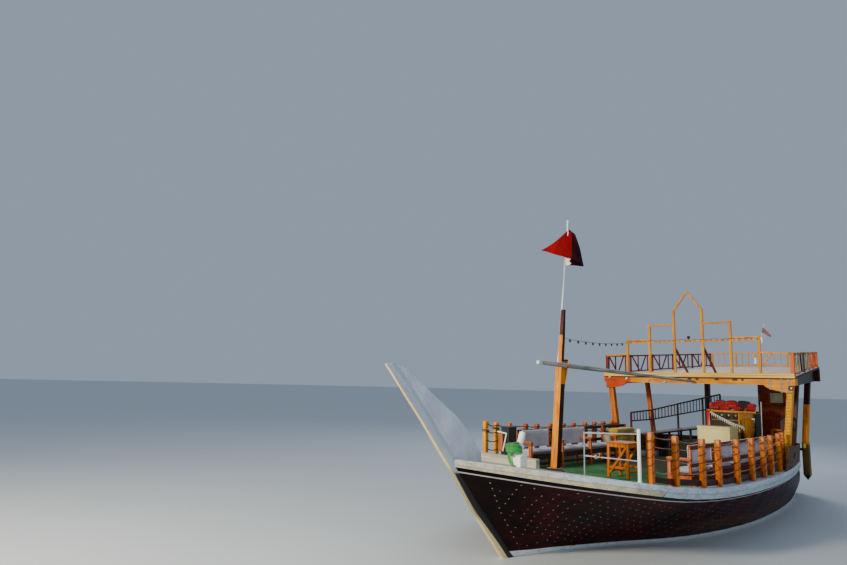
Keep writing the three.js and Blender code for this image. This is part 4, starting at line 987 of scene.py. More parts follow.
def flagFinish():
    # maroon, with a white toothed strip down the hoist; the creases and the fold toward the fly are darkened as
    # painted shade
    made, p = newFinish("maroon_flag")
    out, down = p.node("TexCoord", None, None, 2).axes("xy")
    x, y, z = p.axes("xyz")
    tooth = (down * flagShape["teeth"]).maths("PINGPONG", 0.5) * flagShape["toothDepth"]
    white = 1 - (out - tooth).between(flagShape["strip"], flagShape["strip"] + 0.006)
    creases = p.stretched(0.5, 1, 0.3).noise(5, 4, 0.5)
    # the red darkens along noise creases: painted crease shade
    red = mixed(creases.between(0.3, 0.8), (156, 2, 12), (104, 2, 8))
    (fromX, fromZ), (acrossX, acrossY) = flagShape["shadeFrom"], flagShape["shadeAcross"]
    # beyond a slanting line toward the fly the flag is dark maroon: painted shade on the fold turned away from
    # the light
    panel = ((x - fromX) * acrossX + y * acrossY + (z - fromZ) * -0.1).between(0.045, 0.055)
    red = mixed(panel, red, (40, 1, 5))
    colour = mixed(white, red, (236, 232, 228))
    return finishUp(made, p, colour, 0.75, creases, 0.25, 0.004, Specular_IOR_Level=0.15)


deselect()
bpy.ops.mesh.primitive_grid_add(x_subdivisions=46, y_subdivisions=30, size=1)
flag = bpy.context.object
for vertex in flag.data.vertices:
    vertex.co = flagPoint(0.5 - vertex.co.y, vertex.co.x + 0.5)
modified(flag, "SMOOTH", factor=0.6, iterations=6)
modified(flag, "SUBSURF", levels=1)
modified(flag, "SOLIDIFY", thickness=0.0018, offset=0)
smooth(flag, 70)
placed(flag, "maroon_flag", flagFinish(), replaces=("flag",))
halyard = [atPole(z, 0.018, 0.016 + 0.01 * math.sin(z * 5)) for z in (3.6, 4.1, 4.6, 5.1, 5.43, 5.8, 6.29)]
truck = column(12, 0.01, tuple(atPole(6.375, 0, 0)), [(0.012, 2.2), (0.012, 1.2), (0.01, 0.6), (0.012, 0.4)])
placed([line(halyard, 0.004, 1), smooth(truck)], "flag_halyard", whiteRope)
print("flag hung")


# life jackets on the helm console
jackets = {"kinds": ("red", "black", "red", "red", "red", "red", "red"), "x": -3.61, "spacing": 0.155,
           "width": 0.27, "halfLength": 0.11, "tall": 0.15}


def vest(turn, place):
    # two stuffed panels, one over the other
    width, long, tall = jackets["width"], jackets["halfLength"], jackets["tall"]
    panels = []
    for i in range(2):
        panel = stuffed((-width / 2, -long, 0), (width / 2, long, tall * 0.62), 0.018, 6, 0.022, 10)
        skew = Matrix.Rotation(rng.uniform(-0.25, 0.25), 4, "Z")
        panel.data.transform(skew @ Matrix.Translation((0, 0.02 * i, tall * 0.6 * i)))
        panels.append(panel)
    piece = joined(panels)
    lean = Matrix.Rotation(rng.uniform(-0.16, 0.16), 4, "X")
    piece.data.transform(Matrix.Translation(place) @ Matrix.Rotation(turn, 4, "Z") @ lean)
    return piece


vests = {"red": [], "black": []}
low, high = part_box("life_jackets")
for i, kind in enumerate(jackets["kinds"]):
    y = high[1] - 0.13 - i * jackets["spacing"]
    turn = rng.uniform(1.1, 2.0)
    x = jackets["x"] + rng.uniform(-0.02, 0.02)
    vests[kind].append(vest(turn, (x, y, low[2] + 0.016 + 0.065 * (i % 2))))
for kind, finish in (("red", redCloth), ("black", blackCloth)):
    pile = placed(vests[kind], kind + "_life_jackets", finish, replaces=("life_jackets",))
print("life jackets piled")


# posts under the upper deck
def ends(name):
    # the middle of a node's foot and of its top
    found, heights = [], [v.co.z for v in nodes[name].data.vertices]
    for level in (min(heights), max(heights)):
        near = [v.co for v in nodes[name].data.vertices if abs(v.co.z - level) < 0.004]
        found.append(Vector([(min(c[i] for c in near) + max(c[i] for c in near)) / 2 for i in range(3)]))
    return found


def bands(tall, start, stop, pitch=0.07):
    # steps of a shaft that is bound round and round between two heights
    count = max(1, round((stop - start) / pitch))
    each = (stop - start) / count
    steps = [(start, 1)] if start > 0.005 else []
    for _ in range(count):
        swell = 1.06 + rng.uniform(-0.015, 0.015)
        steps += [(0.008, swell), (each - 0.016, 1), (0.008, 1 / swell)]
    return steps + ([(tall - stop, 1)] if tall - stop > 0.005 else [])


def timber(foot, top, half, steps=None, ease=0.006):
    # a squared post that leans from foot to top
    tall = top.z - foot.z
    steps = steps or [(tall * 0.5, 1), (tall * 0.5, 1)]
    piece = column(4, half * math.sqrt(2), (0, 0, 0), steps, math.radians(45))
    for vertex in piece.data.vertices:
        x, y, z = vertex.co
        vertex.co = (eased(foot.x, top.x, z / tall) + x, eased(foot.y, top.y, z / tall) + y, foot.z + z)
    modified(piece, "BEVEL", width=ease, segments=2, limit_method="ANGLE", angle_limit=0.8)
    return smooth(piece, 40)


roofPosts = {"post_front_port": {"half": 0.061, "bound": (0.0, 1.0), "finish": golden},
             "post_front_starboard": {"half": 0.071, "bound": (0.3, 0.62), "finish": varnish},
             "post_middle_port": {"half": 0.055, "bound": (0.42, 0.5), "finish": darkTeak},
             "post_middle_starboard": {"half": 0.055, "bound": (0.5, 0.62), "finish": varnish}}
for name, post in roofPosts.items():
    foot, top = ends(name)
    tall = top.z - foot.z
    low, high = [share * tall for share in post["bound"]]
    shaft = timber(foot, top, post["half"], bands(tall, low, high))
    placed(shaft, name.replace("post", "roof_post"), post["finish"], replaces=(name,))

sternPosts = {"x": -6.18, "lean": -0.06, "straightTo": 1.13, "post_stern_port": (1.345, 1.48),
              "post_stern_starboard": (-1.45, -1.45)}
for name in ("post_stern_port", "post_stern_starboard"):
    footY, topY = sternPosts[name]
    port = footY > 0
    low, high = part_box(name)
    tall = high[2] - low[2]
    steps = [(0.14, 21.5), (0.87, 1), (0.04, 1.05), (0.07, 0.78)]
    steps += bands(tall - 1.12, 0.02, 1.02, 0.06) if port else [(tall - 1.12, 1)]
    shaft = column(4, 0.004 * math.sqrt(2), (0, 0, 0), steps, math.radians(45))
    for vertex in shaft.data.vertices:
        x, y, z = vertex.co
        t = max(0, (z - sternPosts["straightTo"]) / (tall - sternPosts["straightTo"]))
        vertex.co = (x + sternPosts["x"] + sternPosts["lean"] * t, y + footY + (topY - footY) * t, z + low[2])
    modified(shaft, "BEVEL", width=0.008, segments=2, limit_method="ANGLE", angle_limit=0.9)
    reach = low[1] if port else high[1]
    chock = block((-6.23, min(reach, footY), low[2] + 0.82), (-6.13, max(reach, footY), low[2] + 0.89), 0.006)
    finish = sternPostWood if port else darkTeak
    pieceName = name.replace("post", "roof_post")
    placed([smooth(shaft, 40), chock], pieceName, finish, replaces=(name,))
lantern = column(12, 0.03, (-6.07, 1.33, 1.33), [(0.02, 1.5), (0.06, 1.05), (0.03, 0.85), (0.02, 0.5)])
bracket = block((-6.1, 1.31, 1.37), (-6.06, 1.35, 1.4), 0.004)
placed([smooth(lantern), bracket], "stern_lantern", yellowPaint)
print("posts bound")


# gate rail: a stout white pole, a thin grey one, thin pipes and a golden tie
gate = {"stout": 4.8, "thin": 5.61, "pipes": ((2.19, 2.205), (1.745, 1.835)), "tieAlong": 0.8,
        "tail": ((0, 0, 0), (-0.03, 0.03, -0.03), (-0.05, 0.05, 0.03), (-0.02, 0.06, 0.05))}


def gatePole(x):
    # the foot and the top of a pole
    low, high = boxNear("gate_rail", x, 0.05)
    middle = (low[1] + high[1]) / 2
    return (x, middle, low[2]), (x, middle, high[2])


stout, thin = gatePole(gate["stout"]), gatePole(gate["thin"])
flange = column(14, 0.04, stout[0], [(0.008, 1.0), (0.006, 0.85)])
stoutParts = [bar(*stout, 0.0295, 18), smooth(flange)]
placed(stoutParts, "gate_pole", whitePaint, replaces=("gate_rail",))
thinFoot = column(10, 0.02, thin[0], [(0.006, 1.0), (0.004, 0.8)])
placed([bar(*thin, 0.0115, 12), thinFoot], "gate_thin_pole", greyMetal)
runs = [((*stout[0][:2], z0), (*thin[0][:2], z1)) for z0, z1 in gate["pipes"]]
placed([bar(*run, 0.0105, 10) for run in runs], "gate_pipes", pinkMetal)
tieAt = Vector([eased(a, b, gate["tieAlong"]) for a, b in zip(*runs[1])])
ring = []
for i in range(16):
    away = (0.02 * math.cos(i * 1.7), 0.02 * math.sin(i * 1.7), 0.03 * math.sin(i * 0.9))
    ring.append(tieAt + Vector(away))
tail = [tieAt + Vector(away) for away in gate["tail"]]
placed([line(ring, 0.009, 2), line(tail, 0.008, 2)], "gate_tie", goldRope)
print("gate rail built")


# benches
seating = {"in": 1.6, "out": 2.06, "seat": 1.4, "end": 3.05, "port": (1, -1.25), "starboard": (-1, -1.95),
           "planks": 4, "frames": 5, "arm": (0.232, 0.284), "backTop": 1.928, "backRails": (1.56, 1.88),
           "stands": ("deck", "gunwale_port", "gunwale_starboard")}


def floorAt(x, y):
    # the deck or a gunwale under a bench leg, whichever is higher
    heights = [topOf(name, x + d, y, 1.39) for name in seating["stands"] for d in (-0.03, 0.03)]
    return max(z for z in heights if z is not None) + 0.001


def sideBlock(side, low, high, bevel=0.006, segments=2):
    # a block on the named side, given by its port corners
    (x0, y0, z0), (x1, y1, z1) = low, high
    return block((x0, min(side * y0, side * y1), z0), (x1, max(side * y0, side * y1), z1), bevel, segments)


def benchFrame(side, x, armReach):
    # a front and a back post, an arm on them and a cross rail under the seat
    inner, outer, seat = seating["in"], seating["out"], seating["seat"]
    low, high = seating["arm"]
    pieces = []
    posts = ((inner + 0.03, seat + low + 0.004, 0.033), (outer - 0.03, seating["backTop"], 0.025))
    for y, top, half in posts:
        foot = Vector((x, side * y, floorAt(x, side * y)))
        steps = [(top - foot.z - 0.05, 1), (0.01, 0.8), (0.01, 1.25), (0.03, 1)]
        pieces.append(timber(foot, Vector((x, side * y, top)), half, steps, 0.004))
    arm = (x - 0.046, inner - 0.018, seat + low), (x + 0.046, armReach, seat + high)
    crossRail = (x - 0.02, inner + 0.05, seat - 0.12), (x + 0.02, outer - 0.05, seat - 0.04)
    return pieces + [sideBlock(side, *arm, 0.016, 3), sideBlock(side, *crossRail)]


def benchBoards(side, start, end):
    inner, outer, seat = seating["in"], seating["out"], seating["seat"]
    wide = (outer - inner) / seating["planks"]
    boards = []
    for i in range(seating["planks"]):
        low, high = inner + wide * i + 0.003, inner + wide * (i + 1) - 0.003
        boards.append(sideBlock(side, (start, low, seat - 0.032), (end, high, seat)))
    boards.append(sideBlock(side, (start, inner + 0.01, seat - 0.13), (end, inner + 0.04, seat - 0.036)))
    for z in seating["backRails"]:
        boards.append(sideBlock(side, (start, outer - 0.03, z - 0.04), (end, outer, z + 0.04), 0.01, 3))
    if side > 0:
        apron = (start + 0.03, outer - 0.03, seat - 0.2), (end - 0.03, outer - 0.005, seat - 0.045)
        boards.append(sideBlock(side, *apron))
    low = max(floorAt(x, side * (inner + 0.03)) for x in (start + 0.1, end - 0.1)) + 0.06
    boards.append(sideBlock(side, (start + 0.03, inner + 0.015, low), (end - 0.03, inner + 0.04, low + 0.06)))
    return boards


for word in ("port", "starboard"):
    (side, start), end = seating[word], seating["end"]
    frames = []
    last = seating["frames"] - 1
    for i in range(seating["frames"]):
        x = start + 0.025 + (end - start - 0.05) * i / last
        frames += benchFrame(side, x, seating["out"] - (0 if i in (0, last) else 0.16))
    placed(frames, "bench_ends_" + word, varnishFore, replaces=("bench_" + word,))
    boardFinish = darkFore if side < 0 else redFore
    placed(benchBoards(side, start, end), "bench_boards_" + word, boardFinish)
print("benches built")


# table on the fore deck: heavy legs, a rail each way and one slanting brace a side
table = {"inset": 0.034, "leg": 0.029, "top": 0.03, "boards": 5}
(x0, y0, z0), (x1, y1, z1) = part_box("deck_table")
inset, under = table["inset"], z1 - table["top"]
tableParts = []
for x in (x0 + inset, x1 - inset):
    for y in (y0 + inset, y1 - inset):
        tableParts.append(timber(Vector((x, y, z0)), Vector((x, y, under)), table["leg"]))
    tableParts.append(block((x - 0.016, y0 + 0.04, z0 + 0.18), (x + 0.016, y1 - 0.04, z0 + 0.23)))
    tableParts.append(block((x - 0.018, y0 + 0.03, z1 - 0.11), (x + 0.018, y1 - 0.03, under)))
for y in (y0 + inset, y1 - inset):
    tableParts.append(block((x0 + 0.04, y - 0.016, z0 + 0.1), (x1 - 0.04, y + 0.016, z0 + 0.15)))
    tableParts.append(block((x0 + 0.04, y - 0.018, z1 - 0.11), (x1 - 0.04, y + 0.018, under)))
for x in (x0 + inset, x1 - inset):
    tableParts.append(timber(Vector((x, y0 + 0.06, z0 + 0.08)), Vector((x, y1 - 0.06, z1 - 0.09)), 0.031))
wide = (y1 - y0) / table["boards"]
for i in range(table["boards"]):
    tableParts.append(block((x0, y0 + wide * i + 0.002, under), (x1, y0 + wide * (i + 1) - 0.002, z1), 0.005))
placed(tableParts, "braced_table", varnish, replaces=("deck_table",))


# mooring bitt, its rope and the locker on the foredeck
bitt = {"x": 6.33, "y": 0.62, "half": 0.092, "rise": 0.235, "rope": 0.014, "loops": (-0.11, -0.085),
        "layers": ((0.075, 0.25, 7), (0.1, 0.262, 6), (0.124, 0.28, 5), (0.138, 0.305, 3)),
        "loop": ((0.14, 0, 0.3), (0.15, -0.01, 0.2), (0.13, -0.005, 0.1), (0.125, 0.03, 0.03),
                 (0.122, 0.09, 0.015))}
x, y, z, half = bitt["x"], bitt["y"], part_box("mooring_bitt")[0][2], bitt["half"]
foot = block((x - half, y - half, z), (x + half, y + half, z + 0.19), 0.008)
cap = block((x - 0.1, y - 0.1, z + 0.175), (x + 0.1, y + 0.125, z + bitt["rise"]), 0.01, 3)
post = bar((x + 0.02, y - 0.03, z + 0.2), (x, y + 0.07, z + 0.57), 0.052, 18)
cross = bar((x + 0.015, y - 0.118, z + 0.33), (x + 0.015, y + 0.098, z + 0.33), 0.022, 12)
placed([foot, cap, post, cross], "white_bitt", whitePaint, replaces=("mooring_bitt",))


def ropeLayer(layer, radius, start, count):
    # turns of rope round the bitt, every other layer wound the other way
    points = []
    for i in range(count * 12 + 1):
        a = i * math.pi / 6 * (1 if layer % 2 else -1)
        r = radius + rng.uniform(-0.006, 0.006)
        rise = start - 0.05 + 0.026 * i / 12 + 0.024 * math.sin(a + layer)
        points.append((x + 0.11 + r * 0.8 * math.cos(a), y - 0.03 + r * 1.1 * math.sin(a), z + rise))
    return line(points, bitt["rope"], 2)


turns = [ropeLayer(i, *layer) for i, layer in enumerate(bitt["layers"])]
for dy in bitt["loops"]:
    turns.append(line([(x + a, y + dy + b, z + c) for a, b, c in bitt["loop"]], bitt["rope"], 2))
placed(turns, "green_rope_turns", greenRope)

locker = {"lid": 0.03, "frame": ((-1.24, 2.0), (-1.004, 1.975), (-1.1, 1.62)),
          "panel": ((-1.222, 1.62), (-1.11, 1.96))}
low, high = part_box("bow_locker")
body = block(low, (high[0], high[1], high[2] - locker["lid"]), 0.006)
lidLow = (low[0] - 0.004, low[1] - 0.004, high[2] - locker["lid"] - 0.004)
lid = block(lidLow, (high[0] + 0.006, high[1] + 0.006, high[2]), 0.01, 3)
placed([body, lid], "black_locker", blackPaint, replaces=("bow_locker",))
frameX = high[0] + 0.022
corners = [(frameX, *corner) for corner in locker["frame"]]
sides = [bar(a, b, 0.014, 8) for a, b in zip(corners, corners[1:])]
placed(sides, "white_frame", whitePaint)
low, high = locker["panel"]
panel = block((frameX - 0.008, *low), (frameX + 0.004, *high), 0.003)
placed(panel, "woven_panel", wovenCane)
print("foredeck fittings built")


# rope at the mast's foot
mastFoot = {"x": 4.42, "radius": 0.15, "turns": 4.4, "rope": 0.014, "pitch": 0.03}
points = []
z = topOf("deck", 4.7, 0)
for i in range(int(mastFoot["turns"] * 14)):
    a = i * math.pi / 7
    r = mastFoot["radius"] + 0.02 * math.sin(i * 0.7)
    rise = mastFoot["rope"] + mastFoot["pitch"] * i / 14
    points.append((mastFoot["x"] + r * math.cos(a), r * math.sin(a), z + rise))
placed(line(points, mastFoot["rope"], 2), "rope_at_mast_foot", greyRope)


# front beam: lashings, joist ends, a dark strip of painted shadow under the fascia, rags and a lamp
beam = {"face": -1.645, "low": 3.095, "high": 3.238, "lashings": ((1.958, 3.0), (2.2, 2.93), (2.36, 2.93)),
        "joists": ((0.0, 0.09), (0.2, 0.07), (0.7, 0.09), (1.15, 0.12), (1.33, 0.05)),
        "rags": ((-2.31, 3.235), (-1.78, 3.2), (-1.15, 3.15), (-0.667, 3.12), (0.095, 3.135)),
        "lamp": (2.42, 3.03), "lampRing": 0.05}
face = beam["face"]
binding = []
for y, low in beam["lashings"]:
    for d in (-0.012, 0.0, 0.013):
        path = [(face + 0.006, y + d, beam["high"]), (face + 0.008, y + d * 1.4, (low + beam["high"]) / 2),
                (face + 0.006, y + d, low), (face - 0.035, y + d, low - 0.012), (face - 0.078, y + d, low),
                (face - 0.08, y + d, beam["low"])]
        binding.append(line(path, 0.0045, 1, smoothly=False))
placed(binding, "beam_lashings", whiteRope)
blocks = []
for y, wide in beam["joists"]:
    blocks.append(block((face - 0.01, y - wide / 2, 3.19), (face + 0.014, y + wide / 2, 3.244), 0.004))
# a long thin dark strip along the beam's top: painted shadow of the gap under the fascia
blocks.append(block((face - 0.006, -2.44, 3.232), (face + 0.01, 2.47, 3.247), 0.003))
placed(blocks, "joist_ends_and_shadow_strip", darkTeak)
knots = []
for y, z in beam["rags"]:
    ring = []
    for i in range(14):
        out = face + 0.022 + 0.008 * math.cos(i * 2.2)
        ring.append((out, y + 0.034 * math.cos(i * 1.1), z + 0.026 * math.sin(i * 1.3)))
    knots.append(line(ring, 0.011, 2))
placed(knots, "tied_rags", whiteRope)
(y, z), radius = beam["lamp"], beam["lampRing"]
angles = [i * math.pi / 8 for i in range(16)]
ring = [(face + 0.03, y + radius * math.cos(a), z + radius * math.sin(a)) for a in angles]
eye = column(14, 0.012, (0, 0, 0), [(0.01, 1.6), (0.012, 1.1), (0.016, 0.8), (0.008, 0.4)])
eye.data.transform(Matrix.Translation((face + 0.004, y, z)) @ Matrix.Rotation(math.pi / 2, 4, "Y"))
placed(line(ring, 0.009, 2, True), "lamp_ring", iron)
placed(smooth(eye), "ring_lamp", whitePaint)
print("front beam dressed")


# braces, lamps and pennant on the gable
gable = {"x": -1.67, "braces": (((1.568, 3.895), (1.743, 3.69)), ((1.806, 3.6), (2.02, 3.86))),
         "staff": ((1.79, 4.2), (1.885, 4.57)), "middleLamp": 0.011, "pennant": (1.862, 4.5)}
gableX = gable["x"]
sticks = [bar((gableX - 0.05, *a), (gableX - 0.05, *b), 0.017, 6) for a, b in gable["braces"]]
placed(sticks, "gable_braces", golden)
low, high = gable["staff"]
staff = bar((gableX, *low), (gableX, *high), 0.006, 6)
tube = bar((gableX + 0.035, 1.83, 4.1), (gableX + 0.035, 1.83, 4.245), 0.02, 12)
lampHead = column(12, 0.03, (gableX + 0.04, 1.66, 3.6), [(0.05, 1.0), (0.02, 0.8), (0.05, 1.1), (0.03, 0.6)])
placed([staff, tube, smooth(lampHead)], "gable_lamps", whitePaint)
hanging = bar((gableX, gable["middleLamp"], 4.33), (gableX, gable["middleLamp"], 4.245), 0.01, 8)
shade = column(12, 0.022, (gableX, gable["middleLamp"], 4.26), [(0.03, 1.9), (0.03, 1.0), (0.02, 0.5)])
placed([hanging, smooth(shade)], "middle_lamp", iron)
deselect()
bpy.ops.mesh.primitive_grid_add(x_subdivisions=14, y_subdivisions=10, size=1)
pennant = bpy.context.object
startY, startZ = gable["pennant"]
for vertex in pennant.data.vertices:
    s, t = vertex.co.x + 0.5, 0.5 - vertex.co.y
    fold = 0.018 * math.sin(9 * s + 3 * t) * (0.3 + s)
    drop = 0.13 * t * (1 - 0.5 * s)
    vertex.co = (gableX + 0.012 + fold, startY + 0.17 * s - 0.03 * t * (1 - s), startZ - drop - 0.2 * s)
modified(pennant, "SOLIDIFY", thickness=0.0015, offset=0)
smooth(pennant, 70)
placed(pennant, "small_pennant", pennantCloth)
print("gable dressed")


# steering console front
console = {"face": -3.405, "gauges": (0.075, 0.26, 0.445), "level": 2.235, "dial": 0.075,
           "rim": ((0.009, 1.0), (0.004, 0.93), (-0.002, 0.88)),
           "dialFace": ((0.002, 1.0), (0.001, 0.94), (0.001, 0.2), (0.003, 0.16)),
           "garland": ((-3.3, -0.17, 2.3), (-3.2, 0.1, 2.19), (-3.05, 0.38, 2.09), (-2.9, 0.6, 2.03),
                       (-2.82, 0.88, 1.965)), "garlandPoints": 140}
face = console["face"]


def gauge(y, ahead, radius, steps):
    # a round piece of a gauge, facing forward
    piece = column(20, radius, (0, 0, 0), steps)
    turned = Matrix.Rotation(math.pi / 2, 4, "Y")
    piece.data.transform(Matrix.Translation((face + ahead, y, console["level"])) @ turned)
    return smooth(piece)


rims = [gauge(y, 0.0005, console["dial"], console["rim"]) for y in console["gauges"]]
dials = [gauge(y, 0.0117, console["dial"] * 0.87, console["dialFace"]) for y in console["gauges"]]
placed(rims, "gauge_rims", iron)
placed(dials, "gauge_dials", blackPaint)
edge = [block((-3.86, -0.222, 2.334), (-3.345, 1.002, 2.352), 0.006),
        block((-3.36, -0.222, 2.35), (-3.344, 1.002, 2.388), 0.005),
        block((face, -0.2, 2.12), (face + 0.012, 0.55, 2.135), 0.004),
        block((face, 0.53, 1.5), (face + 0.014, 0.57, 2.33), 0.005)]
placed(edge, "console_trim", golden)
cornerX = face + 0.055
cornerSteps = [(0.86, 1), (0.012, 0.82), (0.012, 1.22), (0.076, 1)]
corner = timber(Vector((cornerX, -0.24, 1.44)), Vector((cornerX, -0.24, 2.4)), 0.05, cornerSteps)
placed(corner, "console_corner_post", redPaint)
case = block((face + 0.004, 0.6, 2.14), (face + 0.13, 0.95, 2.33), 0.012, 3)
lid = block((face + 0.002, 0.59, 2.325), (face + 0.14, 0.96, 2.35), 0.006)
placed([case, lid], "console_case", oldGold)
socket = block((face + 0.132, 0.93, 2.1), (face + 0.16, 1.0, 2.215), 0.006, 3)
pole = bar((face + 0.03, 1.12, 1.44), (face + 0.03, 1.14, 2.66), 0.01, 8)
placed([socket, pole], "white_box_and_pole", whitePaint)
strand, route = [], console["garland"]
for i in range(console["garlandPoints"]):
    place = i / (console["garlandPoints"] - 1) * (len(route) - 1)
    k = min(int(place), len(route) - 2)
    x, y, z = [eased(a, b, place - k) for a, b in zip(route[k], route[k + 1])]
    strand.append((x + 0.03 * math.cos(i * 0.85), y, z + 0.045 * math.sin(i * 0.85)))
placed(line(strand, 0.0135, 1), "white_garland", garlandCloth)
print("console dressed")


# barrel on its stand
barrel = {"radius": 0.148, "profile": (
    (0.03, 1.0), (0.02, 0.6), (0.3, 0.75), (0.28, 0.95), (0.03, 1.35), (0.07, 1.3), (0.1, 1.25), (0.09, 1.14),
    (0.03, 1.02), (0.014, 0.92), (0.02, 0.98), (0.014, 1.08), (0.012, 1.02), (0.13, 1.0), (0.012, 1.03),
    (0.012, 1.0), (0.012, 0.96), (0.01, 0.3))}
low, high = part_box("barrel")
middle = ((low[0] + high[0]) / 2, (low[1] + high[1]) / 2, low[2])
urn = column(24, barrel["radius"], middle, barrel["profile"])
placed(smooth(urn, 40), "golden_barrel", oldGold, replaces=("barrel",))


# helm wheel
helm = {"x": -3.905, "y": 0.4, "z": 2.12, "rim": 0.28, "innerRing": 0.76, "spokes": 8, "shaftEnd": -3.727,
        "spoke": ((0.06, 1.2), (0.03, 0.7), (0.05, 1.3), (0.06, 0.9), (0.06, 1.0), (0.015, 0.8), (0.02, 1.6),
                  (0.02, 0.95), (0.012, 0.5))}
place = Matrix.Translation((helm["x"], helm["y"], helm["z"]))
parts = []
angles = [i * math.pi / 18 for i in range(36)]
for radius, thick in ((helm["rim"], 0.0175), (helm["rim"] * helm["innerRing"], 0.008)):
    circle = [place @ Vector((0, radius * math.cos(a), radius * math.sin(a))) for a in angles]
    parts.append(line(circle, thick, 2, True))
spoke = smooth(column(10, 0.011, (0, 0, 0.045), helm["spoke"]))
for i in range(helm["spokes"]):
    parts.append(copied(spoke, place @ Matrix.Rotation(i * math.tau / helm["spokes"], 4, "X")))
bpy.data.objects.remove(spoke)
hub = column(20, 0.05, (0, 0, -0.028), [(0.01, 1.2), (0.036, 1.0), (0.01, 0.8), (0.006, 0.5)])
hub.data.transform(place @ Matrix.Rotation(-math.pi / 2, 4, "Y"))
shaft = bar((helm["x"], helm["y"], helm["z"]), (helm["shaftEnd"], helm["y"], helm["z"]), 0.0135, 16)
parts += [smooth(hub), shaft]
placed(parts, "turned_wheel", varnish, "helm_wheel", ("helm_wheel",))


# propeller
screw = {"blades": 3, "root": 0.035, "wide": (0.07, 0.13), "pitch": (1.05, 0.6), "thick": 0.012, "boss": 0.09}
low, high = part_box("propeller")
screwPoints = [v.co for v in nodes["propeller"].data.vertices]
hubX = min(c.x for c in screwPoints if abs(c.y) < 0.07) + screw["boss"]
rodEnd = [c.z for c in screwPoints if c.x > high[0] - 0.01]
screwZ = sum(rodEnd) / len(rodEnd)
reach = max(math.hypot(c.y, c.z - screwZ) for c in screwPoints) - 0.006
blades = []
for i in range(screw["blades"]):
    deselect()
    bpy.ops.mesh.primitive_grid_add(x_subdivisions=10, y_subdivisions=8, size=1)
    blade = bpy.context.object
    for vertex in blade.data.vertices:
        u, v = vertex.co.x, vertex.co.y + 0.5
        wide = screw["wide"][0] + screw["wide"][1] * math.sin(math.pi * min(1, v * 1.05 + 0.12))
        radius = screw["root"] + (reach - screw["root"]) * v - 0.05 * (2 * u) ** 2 * v
        pitch = screw["pitch"][0] - screw["pitch"][1] * v
        vertex.co = (u * wide * math.sin(pitch), u * wide * math.cos(pitch) + 0.02 * v, radius)
    modified(blade, "SOLIDIFY", thickness=screw["thick"], offset=0)
    turn = Matrix.Rotation(i * math.tau / screw["blades"], 4, "X")
    blade.data.transform(Matrix.Translation((hubX, 0, screwZ)) @ turn)
    blades.append(smooth(blade, 50))
boss = column(20, 0.03, (0, 0, 0), [(0.02, 1.4), (0.06, 1.25), (0.07, 1.08), (0.02, 0.95)])
turn = Matrix.Rotation(math.pi / 2, 4, "Y")
boss.data.transform(Matrix.Translation((hubX - screw["boss"], 0, screwZ)) @ turn)
rod = bar((hubX, 0, screwZ), (high[0] - 0.001, 0, screwZ), 0.0245, 16)
placed(blades + [smooth(boss), rod], "bronze_screw", bronze, "propeller", ("propeller",))


# booth: rails that frame its panels, and a window pane
booth = {"x": -5.1, "low": 1.44, "high": 3.23, "sides": (0.485, 1.215), "window": ((0.8, 2.61), (1.16, 2.89)),
         "middle": (2.12, 2.2), "sideRails": (1.5, 2.2, 3.1)}
(y0, z0), (y1, z1) = booth["window"]
x, (leftY, rightY), bottom, top = booth["x"], booth["sides"], booth["low"], booth["high"]
middleLow, middleHigh = booth["middle"]
rails = [((leftY, bottom), (rightY, bottom + 0.12)), ((leftY, top - 0.09), (rightY, top)),
         ((leftY, bottom), (leftY + 0.07, top)), ((rightY - 0.06, bottom), (rightY, top)),
         ((leftY, middleLow), (rightY, middleHigh)), ((leftY, z0 - 0.06), (rightY, z0)),
         ((leftY, z1), (rightY, z1 + 0.05)), ((y0 - 0.05, z0), (y0, z1)),
         ((leftY + 0.33, bottom), (leftY + 0.39, middleLow + 0.02))]
trim = [block((x + 0.0005, *a), (x + 0.016, *b), 0.005) for a, b in rails]
placed(trim, "booth_rails", boothTrim)
pane = block((x - 0.02, y0 + 0.001, z0 + 0.001), (x - 0.014, y1 - 0.001, z1 - 0.001), 0.002)
placed(pane, "booth_pane", olivePane)
outside = [block((-5.78, 1.0, z), (-5.12, 1.03, z + 0.06), 0.005) for z in booth["sideRails"]]
for strip in outside:
    for vertex in strip.data.vertices:
        vertex.co.y += 0.005 + 0.195 * (vertex.co.x + 5.77) / 0.64
placed(outside, "booth_side_rails", darkTeak)
print("booth and helm built")


# lights strung from the mast to the gable and along it
def bulbs(points, drop, radius, every):
    # small hanging bulbs, evenly spaced along a wire
    places = []
    walked = 0.0
    for a, b in zip(points, points[1:]):
        a, b = Vector(a), Vector(b)
        length = (b - a).length
        while walked <= length:
            places.append(a.lerp(b, walked / length) - Vector((0, 0, drop)))
            walked += every
        walked -= length
    deselect()
    bpy.ops.mesh.primitive_uv_sphere_add(segments=8, ring_count=6, radius=radius)
    one = bpy.context.object
    for vertex in one.data.vertices:
        vertex.co.z *= 1.5
    smooth(settle(one), 80)
    pieces = [copied(one, Matrix.Translation(place)) for place in places]
    bpy.data.objects.remove(one)
    return pieces


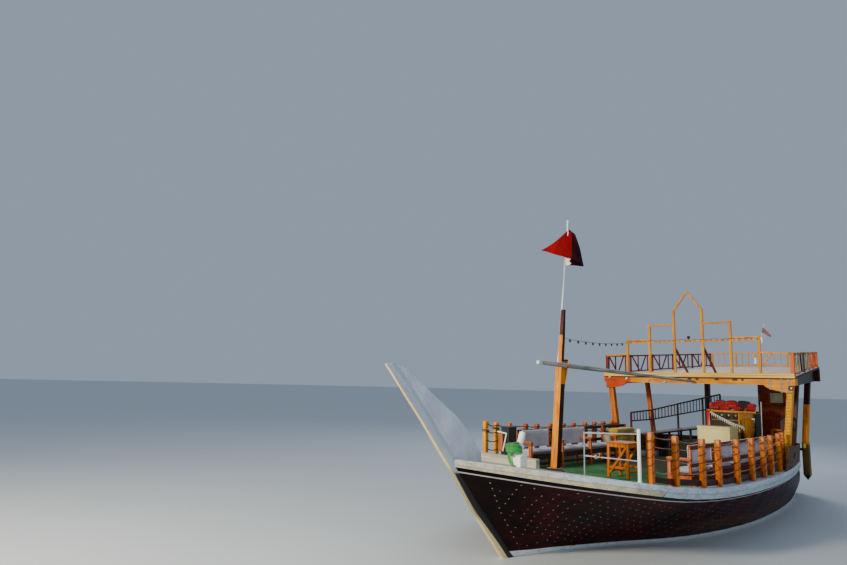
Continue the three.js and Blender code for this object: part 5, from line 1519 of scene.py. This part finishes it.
lights = {"mastEnd": (4.11, -0.05, 3.93), "gableEnd": (-1.64, -1.75, 4.2), "sag": 0.06,
          "gableWire": (-1.635, -1.75, 4.235)}
mastEnd, gableEnd = Vector(lights["mastEnd"]), Vector(lights["gableEnd"])
festoon = []
for i in range(25):
    t = i / 24
    festoon.append(mastEnd.lerp(gableEnd, t) - Vector((0, 0, lights["sag"] * 4 * t * (1 - t))))
placed(line(festoon, 0.005, 1), "festoon_wire", blackRubber)
placed(bulbs(festoon[:-1], 0.03, 0.024, 0.6), "festoon_bulbs", blackRubber)
x, y, z = lights["gableWire"]
gableWire = [(x, y + 3.5 * i / 40, z - 0.012 * math.sin(i * 1.3)) for i in range(41)]
placed(line(gableWire, 0.005, 1), "gable_wire", blackRubber)
placed(bulbs(gableWire, 0.025, 0.014, 0.14), "gable_bulbs", clearGlass)


# floor and light
deselect()
bpy.ops.mesh.primitive_circle_add(vertices=96, radius=260, fill_type="NGON", location=(0, 0, 0))
floor = bpy.context.object
floor.name = "floor"
made, p = newFinish("floor_paint")
floor.data.materials.append(finishUp(made, p, mixed(p.noise(0.4, 2), (206, 212, 216), (198, 205, 210)), 0.55))


def lamp(name, place, aim, size, power, colour):
    data = bpy.data.lights.new(name, "AREA")
    data.shape, data.size, data.energy, data.color = "DISK", size, power, colour
    item = bpy.data.objects.new(name, data)
    item.location = place
    item.rotation_euler = (Vector(aim) - Vector(place)).to_track_quat("-Z", "Y").to_euler()
    bpy.context.scene.collection.objects.link(item)


lamp("key", (22.5, -3.0, 8.4), (0, 0, 1.5), 3.0, 4600, (1.0, 0.9, 0.7))
lamp("fill", (10, 18, 9), (0, 0, 1.5), 12, 620, (0.86, 0.93, 1.0))
lamp("rim", (-16, -8, 14), (0, 0, 2), 10, 1100, (0.92, 0.96, 1.0))
world = bpy.data.worlds.new("studio")
bpy.context.scene.world = world
world.use_nodes = True
background = world.node_tree.nodes["Background"]
background.inputs["Color"].default_value = tint(196, 214, 236)
background.inputs["Strength"].default_value = 0.52
